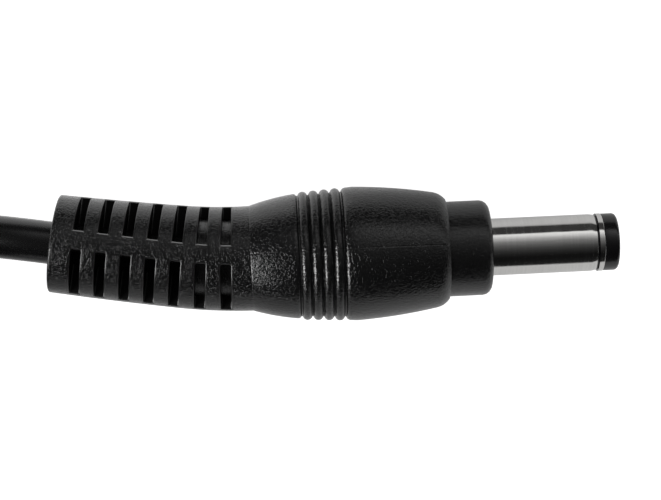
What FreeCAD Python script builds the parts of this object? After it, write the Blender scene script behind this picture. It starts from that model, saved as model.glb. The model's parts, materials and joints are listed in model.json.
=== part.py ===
"""Moulded DC plug of a laptop adapter, with its strain relief boot and its lead, in millimetres.

Frame: the origin is on the plug's axis in the plane of the collar's front face, +X runs towards the barrel's
tip and +Z is up. The plug lies on its grip, the boot bends towards +Y, and the lead runs on towards -X into a
tied hank that ends in the small grommet of the adapter's case.
"""

import FreeCAD, Part

import math
import os
from FreeCAD import Placement, Rotation, Vector

# Barrel, the outer contact
BARREL_DIAMETER = 5.5
BARREL_REACH = 12.25  # collar face to the tip's end
SLEEVE_BORE = 4.5
SLEEVE_ROOT = 5.0  # how far the sleeve runs back into the inner mould
SLEEVE_ROOT_DIAMETER = 5.1
SLEEVE_FLANGE_DIAMETER = 7.0
SLEEVE_FLANGE_WIDTH = 0.8
SLEEVE_FLANGE_FRONT = 1.8  # behind the collar face
SLEEVE_TAPER_LENGTH = 0.45
SLEEVE_TAPER_DEPTH = 0.07
GROOVE_WIDTH = 0.2
GROOVE_DEPTH = 0.2
RIM_WIDTH = 0.5
RIM_EDGE = 0.08
RIM_RISE = 0.03  # how far the rolled rim stands over the barrel

# Tip ring, which closes the barrel's end
TIP_RING_LENGTH = 1.45
TIP_RING_ROUNDING = 0.38
TIP_TAIL_LENGTH = 3.8
TIP_WALL = 1.85
TIP_MOUTH_DIAMETER = 2.9
TIP_MOUTH_CHAMFER = 0.35

# Inner contact, the socket for the centre pin
SOCKET_BORE = 2.5
SOCKET_DEPTH = 9.6
CONTACT_WALL = 0.35
CONTACT_TIP_GAP = 0.2  # between the contact's end and the tip ring's wall
CONTACT_SPRING_GAP = 0.15  # room round the sprung part of the contact
CONTACT_SPRING_LENGTH = 6.0
CONTACT_SLIT = 0.3
RIVET_DIAMETER = 1.8

# Rear insulator and terminals
REAR_INSULATOR_WIDTH = 1.0
TERMINAL_THICKNESS = 0.4
POSITIVE_WASHER_DIAMETER = 4.0
SOLDER_CUP_DIAMETER = 2.3
SOLDER_CUP_LENGTH = 3.2
SOLDER_CUP_DEPTH = 2.4
POSITIVE_SOLDER_LENGTH = 0.8
POSITIVE_SOLDER_TOE = 0.05  # thickness where the fillet of solder runs out on the wire
POSITIVE_SOLDER_WAIST = 0.15  # thickness half way along it
NEGATIVE_RING_WIDTH = 0.85  # radial
NEGATIVE_RING_SETBACK = 0.6  # from the sleeve's rear end
NEGATIVE_TAB_LENGTH = 6.0
NEGATIVE_TAB_WIDTH = 1.6
NEGATIVE_SOLDER_LENGTH = 1.4
NEGATIVE_SOLDER_DIAMETER = 1.9
SHRINK_WALL = 0.25
SHRINK_OVERLAP = 0.6  # over the core's insulation

# Lead
LEAD_DIAMETER = 4.1
JACKET_BORE = 3.05
INSULATION_DIAMETER = 2.45
CONDUCTOR_DIAMETER = 1.3
CONDUCTOR_BARE = 1.2  # between the solder cup's mouth and the insulation
SHIELD_BARE = 0.8
PIGTAIL_DIAMETER = 0.9
PIGTAIL_STRAIGHT = 0.6
PIGTAIL_BEND_LENGTH = 2.0
PIGTAIL_LAP = 2.0  # along the negative tab
PIGTAIL_GAP = 0.12  # from the insulation beside it
PIGTAIL_FILM = 0.06  # solder between the tab and the wires

# Inner mould, whose front is the collar
COLLAR_DIAMETER = 9.15
COLLAR_LENGTH = 4.15
COLLAR_ROUNDING = 0.88
COLLAR_RELIEF = 0.05  # radial, round the barrel in the collar's face
COLLAR_RELIEF_DEPTH = 0.3
INNER_MOULD_LENGTH = 19.4
ANCHOR_GROOVE_DEPTH = 0.6
ANCHOR_GROOVE_WIDTH = 1.4
ANCHOR_GROOVE_PLACES = (8.6, 12.2)
MOULD_TAIL_DIAMETER = 7.6
MOULD_TAIL_REACH = 5.8  # into the boot, along its axis

# Grip
GRIP_FRONT_DIAMETER = 9.75
GRIP_LIP_WAY_DIAMETER = 10.49
GRIP_LIP_WAY = 4.55  # behind the collar face
GRIP_SHOULDER_DIAMETER = 11.15
GRIP_SHOULDER = 5.35
GRIP_WAY_DIAMETER = 12.3
GRIP_WAY = 9.25
GRIP_CREST_DIAMETER = 12.87
GRIP_CREST = 13.0
GRIP_REAR_DIAMETER = 12.7
GRIP_REAR = 14.12
GRIP_REAR_ROUNDING = 0.45
RIB_COUNT = 4
RIB_PITCH = 1.035
RIB_WIDTH = 0.94
RIB_HEIGHT = 0.36
RIB_FIRST_DIAMETER = 12.73
RIB_LAST_DIAMETER = 12.35
FLARE_LENGTH = 4.58
FLARE_DIAMETER = 12.12
FLARE_WAY_DIAMETER = 11.32
FLARE_ROUNDING = 0.3
RIB_CLEARANCE = 0.1  # gap between the last rib and the bodies beside the ribs

# Strain relief boot
BOOT_LENGTH = 19.0
BOOT_ROOT_DIAMETER = 10.07
BOOT_END_DIAMETER = 9.4
BOOT_END_ROUNDING = 0.75
BOOT_BEND = 7.7  # degrees, over the stretch next to the grip
BOOT_BEND_STRETCH = 6.5
BOOT_SWEEP = 2.0  # degrees, over the rest of its length
BOOT_NECK_DIAMETER = 8.8
BOOT_FLANGE_DIAMETER = 9.7
BOOT_FLANGE_WIDTH = 1.0
SLOT_ROWS = 7
SLOT_PITCH = 2.333
SLOT_WIDTH = 1.06
SLOT_FIRST = 2.33  # from the grip to the middle of the first row
SPINE_WIDTH = 1.8
SPINE_ROLL = -4.5  # degrees about the boot's axis
SPINE_TWIST = -3.2  # degrees, from the first row of slots to the last

# Free stretch of the lead, between the boot's end and the hank
FREE_LEAD_ROUTE = (
    (-45.3, 2.928, 0.0),
    (-48.81, 3.455, -0.5),
    (-53.21, 4.03, -1.73),
    (-57.63, 4.428, -2.96),
    (-61.19, 4.575, -3.53),
)

# Hank
HANK_FOLD_RADIUS = 12.5
HANK_STEP = 5.5
HANK_LAYER_PITCH = 4.6
HANK_HALF_RUN = 23.5
HANK_WAIST = 7.0  # how far each side is drawn in
HANK_HALF_TURNS_PER_LAYER = 3
HANK_RUNS = 12
HANK_FRONT = -50.0  # the end that faces the plug
HANK_LANE_OFFSET = 2.25  # from the boot's end to the hank's outer lane
LEAD_IN = 5.6  # straight stretch ahead of the first run
TAIL_RISE = 6.0
TAIL_RISE_LENGTH = 18.0
LEAST_GAP = 0.4
GAP_SAMPLE = 1.5  # step between the points at which the gap is measured

# Tie round the hank's waist
TIE_WIDTH = 8.0
TIE_THICKNESS = 0.6
TIE_CLEARANCE = 0.25
TIE_SLACK = 0.6  # at the sides and on top, where the lead climbs
TIE_CORNER = 2.6
TIE_LAP = 12.0

# Grommet and stripped end
GROMMET_FLANGE_DIAMETER = 7.4
GROMMET_FLANGE_WIDTH = 1.3
GROMMET_GROOVE_DIAMETER = 5.9
GROMMET_GROOVE_WIDTH = 1.6
GROMMET_SLEEVE_LENGTH = 9.8
GROMMET_SLEEVE_DIAMETER = 6.2
GROMMET_MOUTH_DIAMETER = 5.2
GROMMET_ROUNDING = 0.25
JACKET_STUB = 1.0  # jacket that shows past the grommet
CORE_END_LENGTH = 4.0
CORE_TINNED_LENGTH = 3.0
SHIELD_TAIL_DIAMETER = 1.2
SHIELD_SLEEVE_LENGTH = 4.4
SHIELD_TINNED_DIAMETER = 0.8
SHIELD_TINNED_LENGTH = 2.6

# Shares used by every rounded corner, every bend of the route and every cutting tool
CORNER_SHARE = 0.48  # of the shorter side, the most that a rounding takes
BEND_SHARE = 0.45  # of the shorter run, taken by each bend
CUT_OVERSHOOT = 1.0  # how far a cutting shape stands out of what it cuts

# Worked out from the sizes above
BARREL_RADIUS = BARREL_DIAMETER / 2
SLEEVE_ROOT_RADIUS = SLEEVE_ROOT_DIAMETER / 2
SLEEVE_END = BARREL_REACH - TIP_RING_LENGTH
CONTACT_RADIUS = SOCKET_BORE / 2 + CONTACT_WALL
CONTACT_END = BARREL_REACH - TIP_WALL - CONTACT_TIP_GAP
TAIL_REAR = SLEEVE_END - TIP_TAIL_LENGTH
INSULATOR_REAR = -SLEEVE_ROOT - REAR_INSULATOR_WIDTH
WASHER_REAR = INSULATOR_REAR - TERMINAL_THICKNESS
CUP_MOUTH = WASHER_REAR - SOLDER_CUP_LENGTH
INSULATION_FRONT = CUP_MOUTH - CONDUCTOR_BARE
SHRINK_REAR = INSULATION_FRONT - SHRINK_OVERLAP
NEGATIVE_RING_REAR = -SLEEVE_ROOT + NEGATIVE_RING_SETBACK
NEGATIVE_RING_RADIUS = SLEEVE_ROOT_RADIUS + NEGATIVE_RING_WIDTH
NEGATIVE_TAB_REAR = NEGATIVE_RING_REAR - NEGATIVE_TAB_LENGTH
PIGTAIL_FRONT = NEGATIVE_TAB_REAR + PIGTAIL_LAP
PIGTAIL_HEIGHT = NEGATIVE_RING_RADIUS - TERMINAL_THICKNESS - PIGTAIL_FILM - PIGTAIL_DIAMETER / 2
SHIELD_FRONT = NEGATIVE_TAB_REAR - PIGTAIL_BEND_LENGTH - PIGTAIL_STRAIGHT
JACKET_FRONT = SHIELD_FRONT - SHIELD_BARE
RIBS_REAR = -GRIP_REAR - 2 * RIB_CLEARANCE - RIB_COUNT * RIB_PITCH + (RIB_PITCH - RIB_WIDTH)
BOOT_ROOT = RIBS_REAR - FLARE_LENGTH
BEND_RADIUS = BOOT_BEND_STRETCH / math.radians(BOOT_BEND)
SWEEP_RADIUS = (BOOT_LENGTH - BOOT_BEND_STRETCH) / math.radians(BOOT_SWEEP)
FLOOR = -GRIP_CREST_DIAMETER / 2
ALONG_X = Vector(1, 0, 0)
UP = Vector(0, 0, 1)


def save(name, solid):
    """Writes one sub-part and says how large it is."""
    solid.exportStep(f"parts/{name}.step")
    box = solid.BoundBox
    print(
        f"{name}: {len(solid.Solids)} solid, valid {solid.isValid()}, {solid.Volume:.2f} mm3,"
        f" x {box.XMin:.2f} to {box.XMax:.2f}, y {box.YMin:.2f} to {box.YMax:.2f},"
        f" z {box.ZMin:.2f} to {box.ZMax:.2f}"
    )


def rounded_corner(start, corner, after, rounding):
    """The two ends and the middle of the arc that rounds a corner between straight sides."""
    inward = (corner - start).normalize()
    outward = (after - corner).normalize()
    half_turn = inward.getAngle(outward) / 2
    side = CORNER_SHARE * min(start.distanceToPoint(corner), corner.distanceToPoint(after))
    reach = min(rounding * math.tan(half_turn), side)
    first = corner - inward * reach
    last = corner + outward * reach
    bisector = (outward - inward).normalize()
    radius = reach / math.tan(half_turn)
    middle = corner + bisector * (radius / math.cos(half_turn) - radius)
    return first, middle, last


def turned(points):
    """A solid of revolution about the X axis.

    A point is (x, radius), (x, radius, rounding) for a rounded corner between straight sides, or
    (x, radius, way_x, way_radius) for the end of an arc through a point on the way.
    """
    corners = [Vector(point[0], point[1], 0) for point in points]
    edges = []
    cursor = corners[0]
    for index in range(1, len(points) + 1):
        point = points[index % len(points)]
        corner = corners[index % len(points)]
        if len(point) == 4:
            edges.append(Part.Arc(cursor, Vector(point[2], point[3], 0), corner).toShape())
            cursor = corner
            continue
        if len(point) == 3:
            after = corners[(index + 1) % len(points)]
            first, middle, last = rounded_corner(cursor, corner, after, point[2])
            edges.append(Part.makeLine(cursor, first))
            edges.append(Part.Arc(first, middle, last).toShape())
            cursor = last
            continue
        edges.append(Part.makeLine(cursor, corner))
        cursor = corner
    face = Part.Face(Part.Wire(edges))
    return face.revolve(Vector(0, 0, 0), ALONG_X, 360)


def rod(front, rear, diameter, y=0.0, z=0.0):
    """A round bar along X, from its front end back to its rear end."""
    return Part.makeCylinder(diameter / 2, front - rear, Vector(rear, y, z), ALONG_X)


def tube(front, rear, diameter, bore):
    """A round tube along X."""
    return rod(front, rear, diameter).cut(rod(front, rear, bore))


def boot_place(station):
    """Where a shape drawn at the origin along X lies on the boot's bent axis, that far behind the grip."""
    first = min(station, BOOT_BEND_STRETCH)
    place = along_arc(Placement(Vector(BOOT_ROOT, 0, 0), Rotation()), BEND_RADIUS, first)
    return along_arc(place, SWEEP_RADIUS, station - first)


def along_arc(place, radius, length):
    """The place reached from another by going back along an arc that bends towards +Y."""
    turn = length / radius
    step = Vector(-radius * math.sin(turn), radius * (1 - math.cos(turn)), 0)
    return place.multiply(Placement(step, Rotation(UP, -math.degrees(turn))))


def bent_rod(front, station, diameter):
    """A round bar from the plug's inside back along the boot's bent axis to a station on it."""
    bar = rod(front, BOOT_ROOT, diameter)
    for start, end, radius in (
        (0, min(station, BOOT_BEND_STRETCH), BEND_RADIUS),
        (BOOT_BEND_STRETCH, station, SWEEP_RADIUS),
    ):
        if end > start:
            place = boot_place(start)
            heading = place.Rotation.multVec(ALONG_X)
            disc = Part.Face(Part.Wire(Part.makeCircle(diameter / 2, place.Base, heading)))
            centre = place.multVec(Vector(0, radius, 0))
            bar = bar.fuse(disc.revolve(centre, UP * -1, math.degrees((end - start) / radius)))
    return bar.removeSplitter()


def bent_tube(front, diameter, bore):
    """A layer of the lead, from the plug's inside to the boot's free end."""
    return bent_rod(front, BOOT_LENGTH, diameter).cut(bent_rod(front, BOOT_LENGTH, bore))


def arc_through(start, corner, end):
    """The arc that leaves start towards corner and reaches end from it, with its radius."""
    chord_middle = (start + end) * 0.5
    half_chord = start.distanceToPoint(end) / 2
    height = corner.distanceToPoint(chord_middle)
    if height < 1e-6 * half_chord:
        return Part.makeLine(start, end), math.inf
    turn = math.atan2(height, half_chord)
    middle = chord_middle + (corner - chord_middle) * (math.tan(turn / 2) / math.tan(turn))
    return Part.Arc(start, middle, end).toShape(), half_chord / math.sin(turn)


def biarc(start, heading, end, final_heading):
    """Two arcs that leave start along one heading and reach end along another, with their radii."""
    span = end - start
    both = heading + final_heading
    spread = 2 * (1 - heading.dot(final_heading))
    along = span.dot(both)
    if spread < 1e-9:
        reach = span.dot(span) / (4 * span.dot(heading))
    else:
        reach = (math.sqrt(along**2 + spread * span.dot(span)) - along) / spread
    first_corner = start + heading * reach
    last_corner = end - final_heading * reach
    joint = (first_corner + last_corner) * 0.5
    first, first_radius = arc_through(start, first_corner, joint)
    last, last_radius = arc_through(joint, last_corner, end)
    return [first, last], [first_radius, last_radius]


def along_nodes(nodes):
    """A smooth path through (point, heading) nodes, as edges with the radii of their arcs."""
    edges = []
    radii = []
    for (start, heading), (end, final_heading) in zip(nodes, nodes[1:]):
        if heading.getAngle(end - start) < 1e-6 and heading.getAngle(final_heading) < 1e-6:
            edges.append(Part.makeLine(start, end))
            continue
        pair, pair_radii = biarc(start, heading, end, final_heading)
        edges += pair
        radii += pair_radii
    return edges, radii


def swept(edges, heading, diameter):
    """A round bar along a path that starts with the heading."""
    start = edges[0].valueAt(edges[0].FirstParameter)
    ring = Part.Wire(Part.makeCircle(diameter / 2, start, heading))
    return Part.Wire(edges).makePipeShell([ring], True, False)


def route_edges(points):
    """Straight runs joined by tangent arcs, each as large as its two runs allow, with their radii."""
    edges = []
    radii = []
    cursor = points[0]
    for before, corner, after in zip(points, points[1:], points[2:]):
        half_turn = (corner - before).getAngle(after - corner) / 2
        reach = BEND_SHARE * min(before.distanceToPoint(corner), corner.distanceToPoint(after))
        first = corner + (before - corner).normalize() * reach
        last = corner + (after - corner).normalize() * reach
        edges.append(Part.makeLine(cursor, first))
        arc, radius = arc_through(first, corner, last)
        edges.append(arc)
        radii.append(radius)
        cursor = last
    edges.append(Part.makeLine(cursor, points[-1]))
    return edges, radii


def least_self_gap(edges, diameter, skip):
    """The least gap between two stretches of a wound bar, leaving out what is nearer along it than skip."""
    points = []
    places = []
    travelled = 0.0
    for edge in edges:
        count = max(2, int(edge.Length / GAP_SAMPLE))
        for index in range(count):
            share = index / count
            parameter = edge.FirstParameter + share * (edge.LastParameter - edge.FirstParameter)
            points.append(edge.valueAt(parameter))
            places.append(travelled + share * edge.Length)
        travelled += edge.Length
    least = math.inf
    for index, point in enumerate(points):
        for other in range(index + 1, len(points)):
            if places[other] - places[index] > skip:
                least = min(least, point.distanceToPoint(points[other]))
    return least - diameter


def make_contacts():
    """The barrel, what it holds, and the two terminals with their solder joints."""
    groove_front = SLEEVE_END - RIM_WIDTH
    groove_rear = groove_front - GROOVE_WIDTH
    neck = BARREL_RADIUS - SLEEVE_TAPER_DEPTH
    rim = BARREL_RADIUS + RIM_RISE
    bore = SLEEVE_BORE / 2
    flange = SLEEVE_FLANGE_DIAMETER / 2
    flange_rear = -SLEEVE_FLANGE_FRONT - SLEEVE_FLANGE_WIDTH
    sleeve = turned(
        [
            (-SLEEVE_ROOT, bore),
            (SLEEVE_END, bore),
            (SLEEVE_END, rim, RIM_EDGE),
            (groove_front, rim),
            (groove_front - GROOVE_WIDTH / 4, BARREL_RADIUS - GROOVE_DEPTH),
            (groove_rear + GROOVE_WIDTH / 4, BARREL_RADIUS - GROOVE_DEPTH),
            (groove_rear, neck),
            (groove_rear - SLEEVE_TAPER_LENGTH, BARREL_RADIUS),
            (0, BARREL_RADIUS),
            (0, SLEEVE_ROOT_RADIUS),
            (-SLEEVE_FLANGE_FRONT, SLEEVE_ROOT_RADIUS),
            (-SLEEVE_FLANGE_FRONT, flange),
            (flange_rear, flange),
            (flange_rear, SLEEVE_ROOT_RADIUS),
            (-SLEEVE_ROOT, SLEEVE_ROOT_RADIUS),
        ]
    )
    mouth = TIP_MOUTH_DIAMETER / 2
    tip_room = CONTACT_RADIUS + CONTACT_SPRING_GAP
    tip = turned(
        [
            (TAIL_REAR, tip_room),
            (BARREL_REACH - TIP_WALL, tip_room),
            (BARREL_REACH - TIP_WALL, mouth),
            (BARREL_REACH - TIP_MOUTH_CHAMFER, mouth),
            (BARREL_REACH, mouth + TIP_MOUTH_CHAMFER),
            (BARREL_REACH, BARREL_RADIUS, TIP_RING_ROUNDING),
            (SLEEVE_END, BARREL_RADIUS),
            (SLEEVE_END, bore),
            (TAIL_REAR, bore),
        ]
    )
    spring_root = CONTACT_END - CONTACT_SPRING_LENGTH
    liner = turned(
        [
            (-SLEEVE_ROOT, CONTACT_RADIUS),
            (spring_root, CONTACT_RADIUS),
            (spring_root, tip_room),
            (TAIL_REAR, tip_room),
            (TAIL_REAR, bore),
            (-SLEEVE_ROOT, bore),
        ]
    )
    rivet = RIVET_DIAMETER / 2
    socket = SOCKET_BORE / 2
    contact = turned(
        [
            (WASHER_REAR, 0),
            (CONTACT_END - SOCKET_DEPTH, 0),
            (CONTACT_END - SOCKET_DEPTH, socket),
            (CONTACT_END, socket),
            (CONTACT_END, CONTACT_RADIUS),
            (-SLEEVE_ROOT, CONTACT_RADIUS),
            (-SLEEVE_ROOT, rivet),
            (WASHER_REAR, rivet),
        ]
    )
    width = 2 * (CONTACT_RADIUS + CONTACT_SPRING_GAP)
    slit = Part.makeBox(
        CONTACT_SPRING_LENGTH, CONTACT_SLIT, width, Vector(spring_root, -CONTACT_SLIT / 2, -width / 2)
    )
    contact = contact.cut(slit)
    rear_insulator = tube(-SLEEVE_ROOT, INSULATOR_REAR, SLEEVE_ROOT_DIAMETER, RIVET_DIAMETER)
    washer = tube(INSULATOR_REAR, WASHER_REAR, POSITIVE_WASHER_DIAMETER, RIVET_DIAMETER)
    cup = rod(WASHER_REAR, CUP_MOUTH, SOLDER_CUP_DIAMETER)
    conductor_room = rod(CUP_MOUTH + SOLDER_CUP_DEPTH, CUP_MOUTH, CONDUCTOR_DIAMETER)
    positive = washer.fuse(cup).cut(conductor_room).removeSplitter()
    conductor = CONDUCTOR_DIAMETER / 2
    positive_solder = turned(
        [
            (CUP_MOUTH - POSITIVE_SOLDER_LENGTH, conductor),
            (CUP_MOUTH, conductor),
            (CUP_MOUTH, SOLDER_CUP_DIAMETER / 2),
            (
                CUP_MOUTH - POSITIVE_SOLDER_LENGTH,
                conductor + POSITIVE_SOLDER_TOE,
                CUP_MOUTH - POSITIVE_SOLDER_LENGTH / 2,
                conductor + POSITIVE_SOLDER_WAIST,
            ),
        ]
    )
    ring_front = NEGATIVE_RING_REAR + TERMINAL_THICKNESS
    ring = tube(ring_front, NEGATIVE_RING_REAR, 2 * NEGATIVE_RING_RADIUS, SLEEVE_ROOT_DIAMETER)
    tab = Part.makeBox(
        NEGATIVE_TAB_LENGTH,
        TERMINAL_THICKNESS,
        NEGATIVE_TAB_WIDTH,
        Vector(NEGATIVE_TAB_REAR, NEGATIVE_RING_RADIUS - TERMINAL_THICKNESS, -NEGATIVE_TAB_WIDTH / 2),
    )
    tab_reach = rod(ring_front, NEGATIVE_TAB_REAR, 2 * NEGATIVE_RING_RADIUS)
    negative = ring.fuse(tab.common(tab_reach)).removeSplitter()
    return {
        "barrel_sleeve": sleeve,
        "tip_ring": tip,
        "contact_liner": liner,
        "inner_contact": contact,
        "rear_insulator": rear_insulator,
        "positive_terminal": positive,
        "positive_solder": positive_solder,
        "negative_terminal": negative,
    }


def make_pigtail(negative):
    """The twisted shield wires that run to the negative terminal, their solder, and the shrink sleeve."""
    start_height = INSULATION_DIAMETER / 2 + PIGTAIL_GAP + PIGTAIL_DIAMETER / 2
    bend_start = SHIELD_FRONT + PIGTAIL_STRAIGHT
    bend_end = bend_start + PIGTAIL_BEND_LENGTH
    nodes = [
        (Vector(SHIELD_FRONT, start_height, 0), ALONG_X),
        (Vector(bend_start, start_height, 0), ALONG_X),
        (Vector(bend_end, PIGTAIL_HEIGHT, 0), ALONG_X),
        (Vector(PIGTAIL_FRONT, PIGTAIL_HEIGHT, 0), ALONG_X),
    ]
    edges, radii = along_nodes(nodes)
    print(f"pigtail's least bend radius {min(radii):.2f}")
    pigtail = swept(edges, ALONG_X, PIGTAIL_DIAMETER)
    solder_rear = PIGTAIL_FRONT - NEGATIVE_SOLDER_LENGTH
    blob = rod(PIGTAIL_FRONT, solder_rear, NEGATIVE_SOLDER_DIAMETER, y=PIGTAIL_HEIGHT)
    under_tab = Part.makeBox(
        NEGATIVE_SOLDER_LENGTH,
        NEGATIVE_SOLDER_DIAMETER,
        NEGATIVE_TAB_WIDTH,
        Vector(
            solder_rear,
            NEGATIVE_RING_RADIUS - TERMINAL_THICKNESS - NEGATIVE_SOLDER_DIAMETER,
            -NEGATIVE_TAB_WIDTH / 2,
        ),
    )
    solder = blob.common(under_tab).cut(pigtail).cut(negative)
    shrink_front = WASHER_REAR - TERMINAL_THICKNESS
    shrink = tube(shrink_front, SHRINK_REAR, INSULATION_DIAMETER + 2 * SHRINK_WALL, INSULATION_DIAMETER)
    return {"shield_pigtail": pigtail, "negative_solder": solder, "heat_shrink_sleeve": shrink}


def make_lead_layers():
    """The lead's own layers, from where each is stripped to the boot's free end."""
    return {
        "centre_conductor": bent_rod(CUP_MOUTH + SOLDER_CUP_DEPTH, BOOT_LENGTH, CONDUCTOR_DIAMETER),
        "core_insulation": bent_tube(INSULATION_FRONT, INSULATION_DIAMETER, CONDUCTOR_DIAMETER),
        "spiral_shield": bent_tube(SHIELD_FRONT, JACKET_BORE, INSULATION_DIAMETER),
        "lead_jacket": bent_tube(JACKET_FRONT, LEAD_DIAMETER, JACKET_BORE),
    }


def mould_envelope():
    """The inner mould's outer shape, with nothing cut out of it."""
    outer = COLLAR_DIAMETER / 2
    anchor = outer - ANCHOR_GROOVE_DEPTH
    outline = [(0, 0), (0, outer, COLLAR_ROUNDING)]
    for place in ANCHOR_GROOVE_PLACES:
        front = -place + ANCHOR_GROOVE_WIDTH / 2
        rear = -place - ANCHOR_GROOVE_WIDTH / 2
        outline += [(front, outer), (front, anchor), (rear, anchor), (rear, outer)]
    outline += [(-INNER_MOULD_LENGTH, outer), (-INNER_MOULD_LENGTH, 0)]
    tail = bent_rod(-INNER_MOULD_LENGTH, MOULD_TAIL_REACH, MOULD_TAIL_DIAMETER)
    return turned(outline).fuse(tail).removeSplitter()


def make_inner_mould(envelope, inside):
    """The inner mould round the contacts and the lead's end. Its front is the collar."""
    mould = envelope.cut(inside["barrel_sleeve"]).cut(rod(BARREL_REACH, -SLEEVE_ROOT, SLEEVE_BORE))
    mould = mould.cut(rod(BARREL_REACH, -COLLAR_RELIEF_DEPTH, BARREL_DIAMETER + 2 * COLLAR_RELIEF))
    mould = mould.cut(bent_rod(JACKET_FRONT, BOOT_LENGTH, LEAD_DIAMETER))
    mould = mould.cut(rod(SHIELD_FRONT, JACKET_FRONT, JACKET_BORE))
    mould = mould.cut(rod(INSULATION_FRONT, SHIELD_FRONT, INSULATION_DIAMETER))
    shrink_front = WASHER_REAR - TERMINAL_THICKNESS
    mould = mould.cut(rod(shrink_front, SHRINK_REAR, INSULATION_DIAMETER + 2 * SHRINK_WALL))
    mould = mould.cut(rod(-SLEEVE_ROOT, INSULATOR_REAR, SLEEVE_ROOT_DIAMETER))
    for name in ("positive_terminal", "negative_terminal", "negative_solder", "shield_pigtail"):
        mould = mould.cut(inside[name])
    return largest_solid(mould.removeSplitter())


def largest_solid(shape):
    """The shape without the slivers that a cut leaves where two round faces touch."""
    return max(shape.Solids, key=lambda solid: solid.Volume)


def make_boot(envelope):
    """The boot: a root held in the grip, then seven slotted rings on four spines and an end ring."""
    rings = []
    sections = SLOT_ROWS
    for index in range(sections + 1):
        station = BOOT_LENGTH * index / sections
        diameter = BOOT_ROOT_DIAMETER + (BOOT_END_DIAMETER - BOOT_ROOT_DIAMETER) * index / sections
        ring = Part.Wire(Part.makeCircle(diameter / 2, Vector(0, 0, 0), ALONG_X))
        ring.Placement = boot_place(station)
        rings.append(ring)
    body = Part.makeLoft(rings, True, False)
    end = boot_place(BOOT_LENGTH).Base
    rim = min(body.Edges, key=lambda edge: edge.CenterOfMass.distanceToPoint(end))
    body = body.makeFillet(BOOT_END_ROUNDING, [rim])
    neck = rod(-INNER_MOULD_LENGTH, BOOT_ROOT, BOOT_NECK_DIAMETER)
    flange = rod(-INNER_MOULD_LENGTH, -INNER_MOULD_LENGTH - BOOT_FLANGE_WIDTH, BOOT_FLANGE_DIAMETER)
    body = body.fuse(neck).fuse(flange).removeSplitter()
    body = body.cut(bent_rod(-INNER_MOULD_LENGTH, BOOT_LENGTH, LEAD_DIAMETER))
    clear = BOOT_ROOT_DIAMETER + 2 * CUT_OVERSHOOT
    half_span = SLOT_WIDTH / 2 + CUT_OVERSHOOT
    spine_corner = Vector(-half_span, -SPINE_WIDTH / 2, -clear / 2)
    spine = Part.makeBox(2 * half_span, SPINE_WIDTH, clear, spine_corner)
    middle = Vector(0, 0, 0)
    cross = spine.fuse(spine.rotated(middle, ALONG_X, 90)).rotated(middle, ALONG_X, SPINE_ROLL)
    core = rod(half_span, -half_span, LEAD_DIAMETER)
    slots = rod(SLOT_WIDTH / 2, -SLOT_WIDTH / 2, clear).cut(core).cut(cross)
    for row in range(SLOT_ROWS):
        row_slots = slots.copy()
        twist = Rotation(ALONG_X, SPINE_TWIST * row / max(SLOT_ROWS - 1, 1))
        row_slots.Placement = boot_place(SLOT_FIRST + row * SLOT_PITCH).multiply(Placement(middle, twist))
        body = body.cut(row_slots)
    return largest_solid(body.cut(envelope))


def make_grip(envelope, boot):
    """The grip: a smooth barrel, four rounded ribs and the flare that runs down to the boot."""
    outline = [
        (-COLLAR_LENGTH, 0),
        (-COLLAR_LENGTH, GRIP_FRONT_DIAMETER / 2),
        (-GRIP_SHOULDER, GRIP_SHOULDER_DIAMETER / 2, -GRIP_LIP_WAY, GRIP_LIP_WAY_DIAMETER / 2),
        (-GRIP_CREST, GRIP_CREST_DIAMETER / 2, -GRIP_WAY, GRIP_WAY_DIAMETER / 2),
        (-GRIP_REAR, GRIP_REAR_DIAMETER / 2, GRIP_REAR_ROUNDING),
    ]
    first_crest = -GRIP_REAR - RIB_CLEARANCE - RIB_WIDTH / 2
    last_radius = RIB_FIRST_DIAMETER / 2
    for rib in range(RIB_COUNT):
        share = rib / (RIB_COUNT - 1)
        crest = (RIB_FIRST_DIAMETER + (RIB_LAST_DIAMETER - RIB_FIRST_DIAMETER) * share) / 2
        place = first_crest - rib * RIB_PITCH
        valley = crest - RIB_HEIGHT
        front = place + RIB_WIDTH / 2
        rear = place - RIB_WIDTH / 2
        if rib == 0:
            outline.append((-GRIP_REAR, valley))
        outline.append((front, valley))
        outline.append((rear, valley, place, crest))
        last_radius = valley
    flare_front = BOOT_ROOT + FLARE_LENGTH
    outline += [
        (flare_front, last_radius),
        (flare_front, FLARE_DIAMETER / 2, FLARE_ROUNDING),
        (BOOT_ROOT, BOOT_ROOT_DIAMETER / 2, BOOT_ROOT + FLARE_LENGTH / 2, FLARE_WAY_DIAMETER / 2),
        (BOOT_ROOT, 0),
    ]
    return largest_solid(turned(outline).cut(envelope).cut(boot))


def free_lead_points():
    """The free lead's route from the boot's end down to the surface and into the hank."""
    start = boot_place(BOOT_LENGTH).Base
    end = Vector(hank_start_x(), hank_lane_y(), hank_floor())
    return [start] + [Vector(*point) for point in FREE_LEAD_ROUTE] + [end]


def hank_floor():
    """Height of the lowest layer's axis."""
    return FLOOR + TIE_THICKNESS + TIE_CLEARANCE + LEAD_DIAMETER / 2


def hank_lane_y():
    """Where the lead's line meets the hank's outer lane."""
    return boot_place(BOOT_LENGTH).Base.y + HANK_LANE_OFFSET


def hank_half_width():
    """From the hank's middle to its outermost lane. The innermost fold has the least radius."""
    return HANK_FOLD_RADIUS + (2 * HANK_HALF_TURNS_PER_LAYER - 1) * HANK_STEP / 4


def hank_middle():
    """The hank's middle in plan."""
    largest_fold = hank_half_width() - HANK_STEP / 4
    reach = HANK_HALF_RUN + largest_fold + LEAD_DIAMETER / 2
    return Vector(HANK_FRONT - reach, hank_lane_y() - hank_half_width(), 0)


def hank_start_x():
    """Where the wound lead begins, ahead of the first run."""
    return hank_middle().x + HANK_HALF_RUN + LEAD_IN


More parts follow.
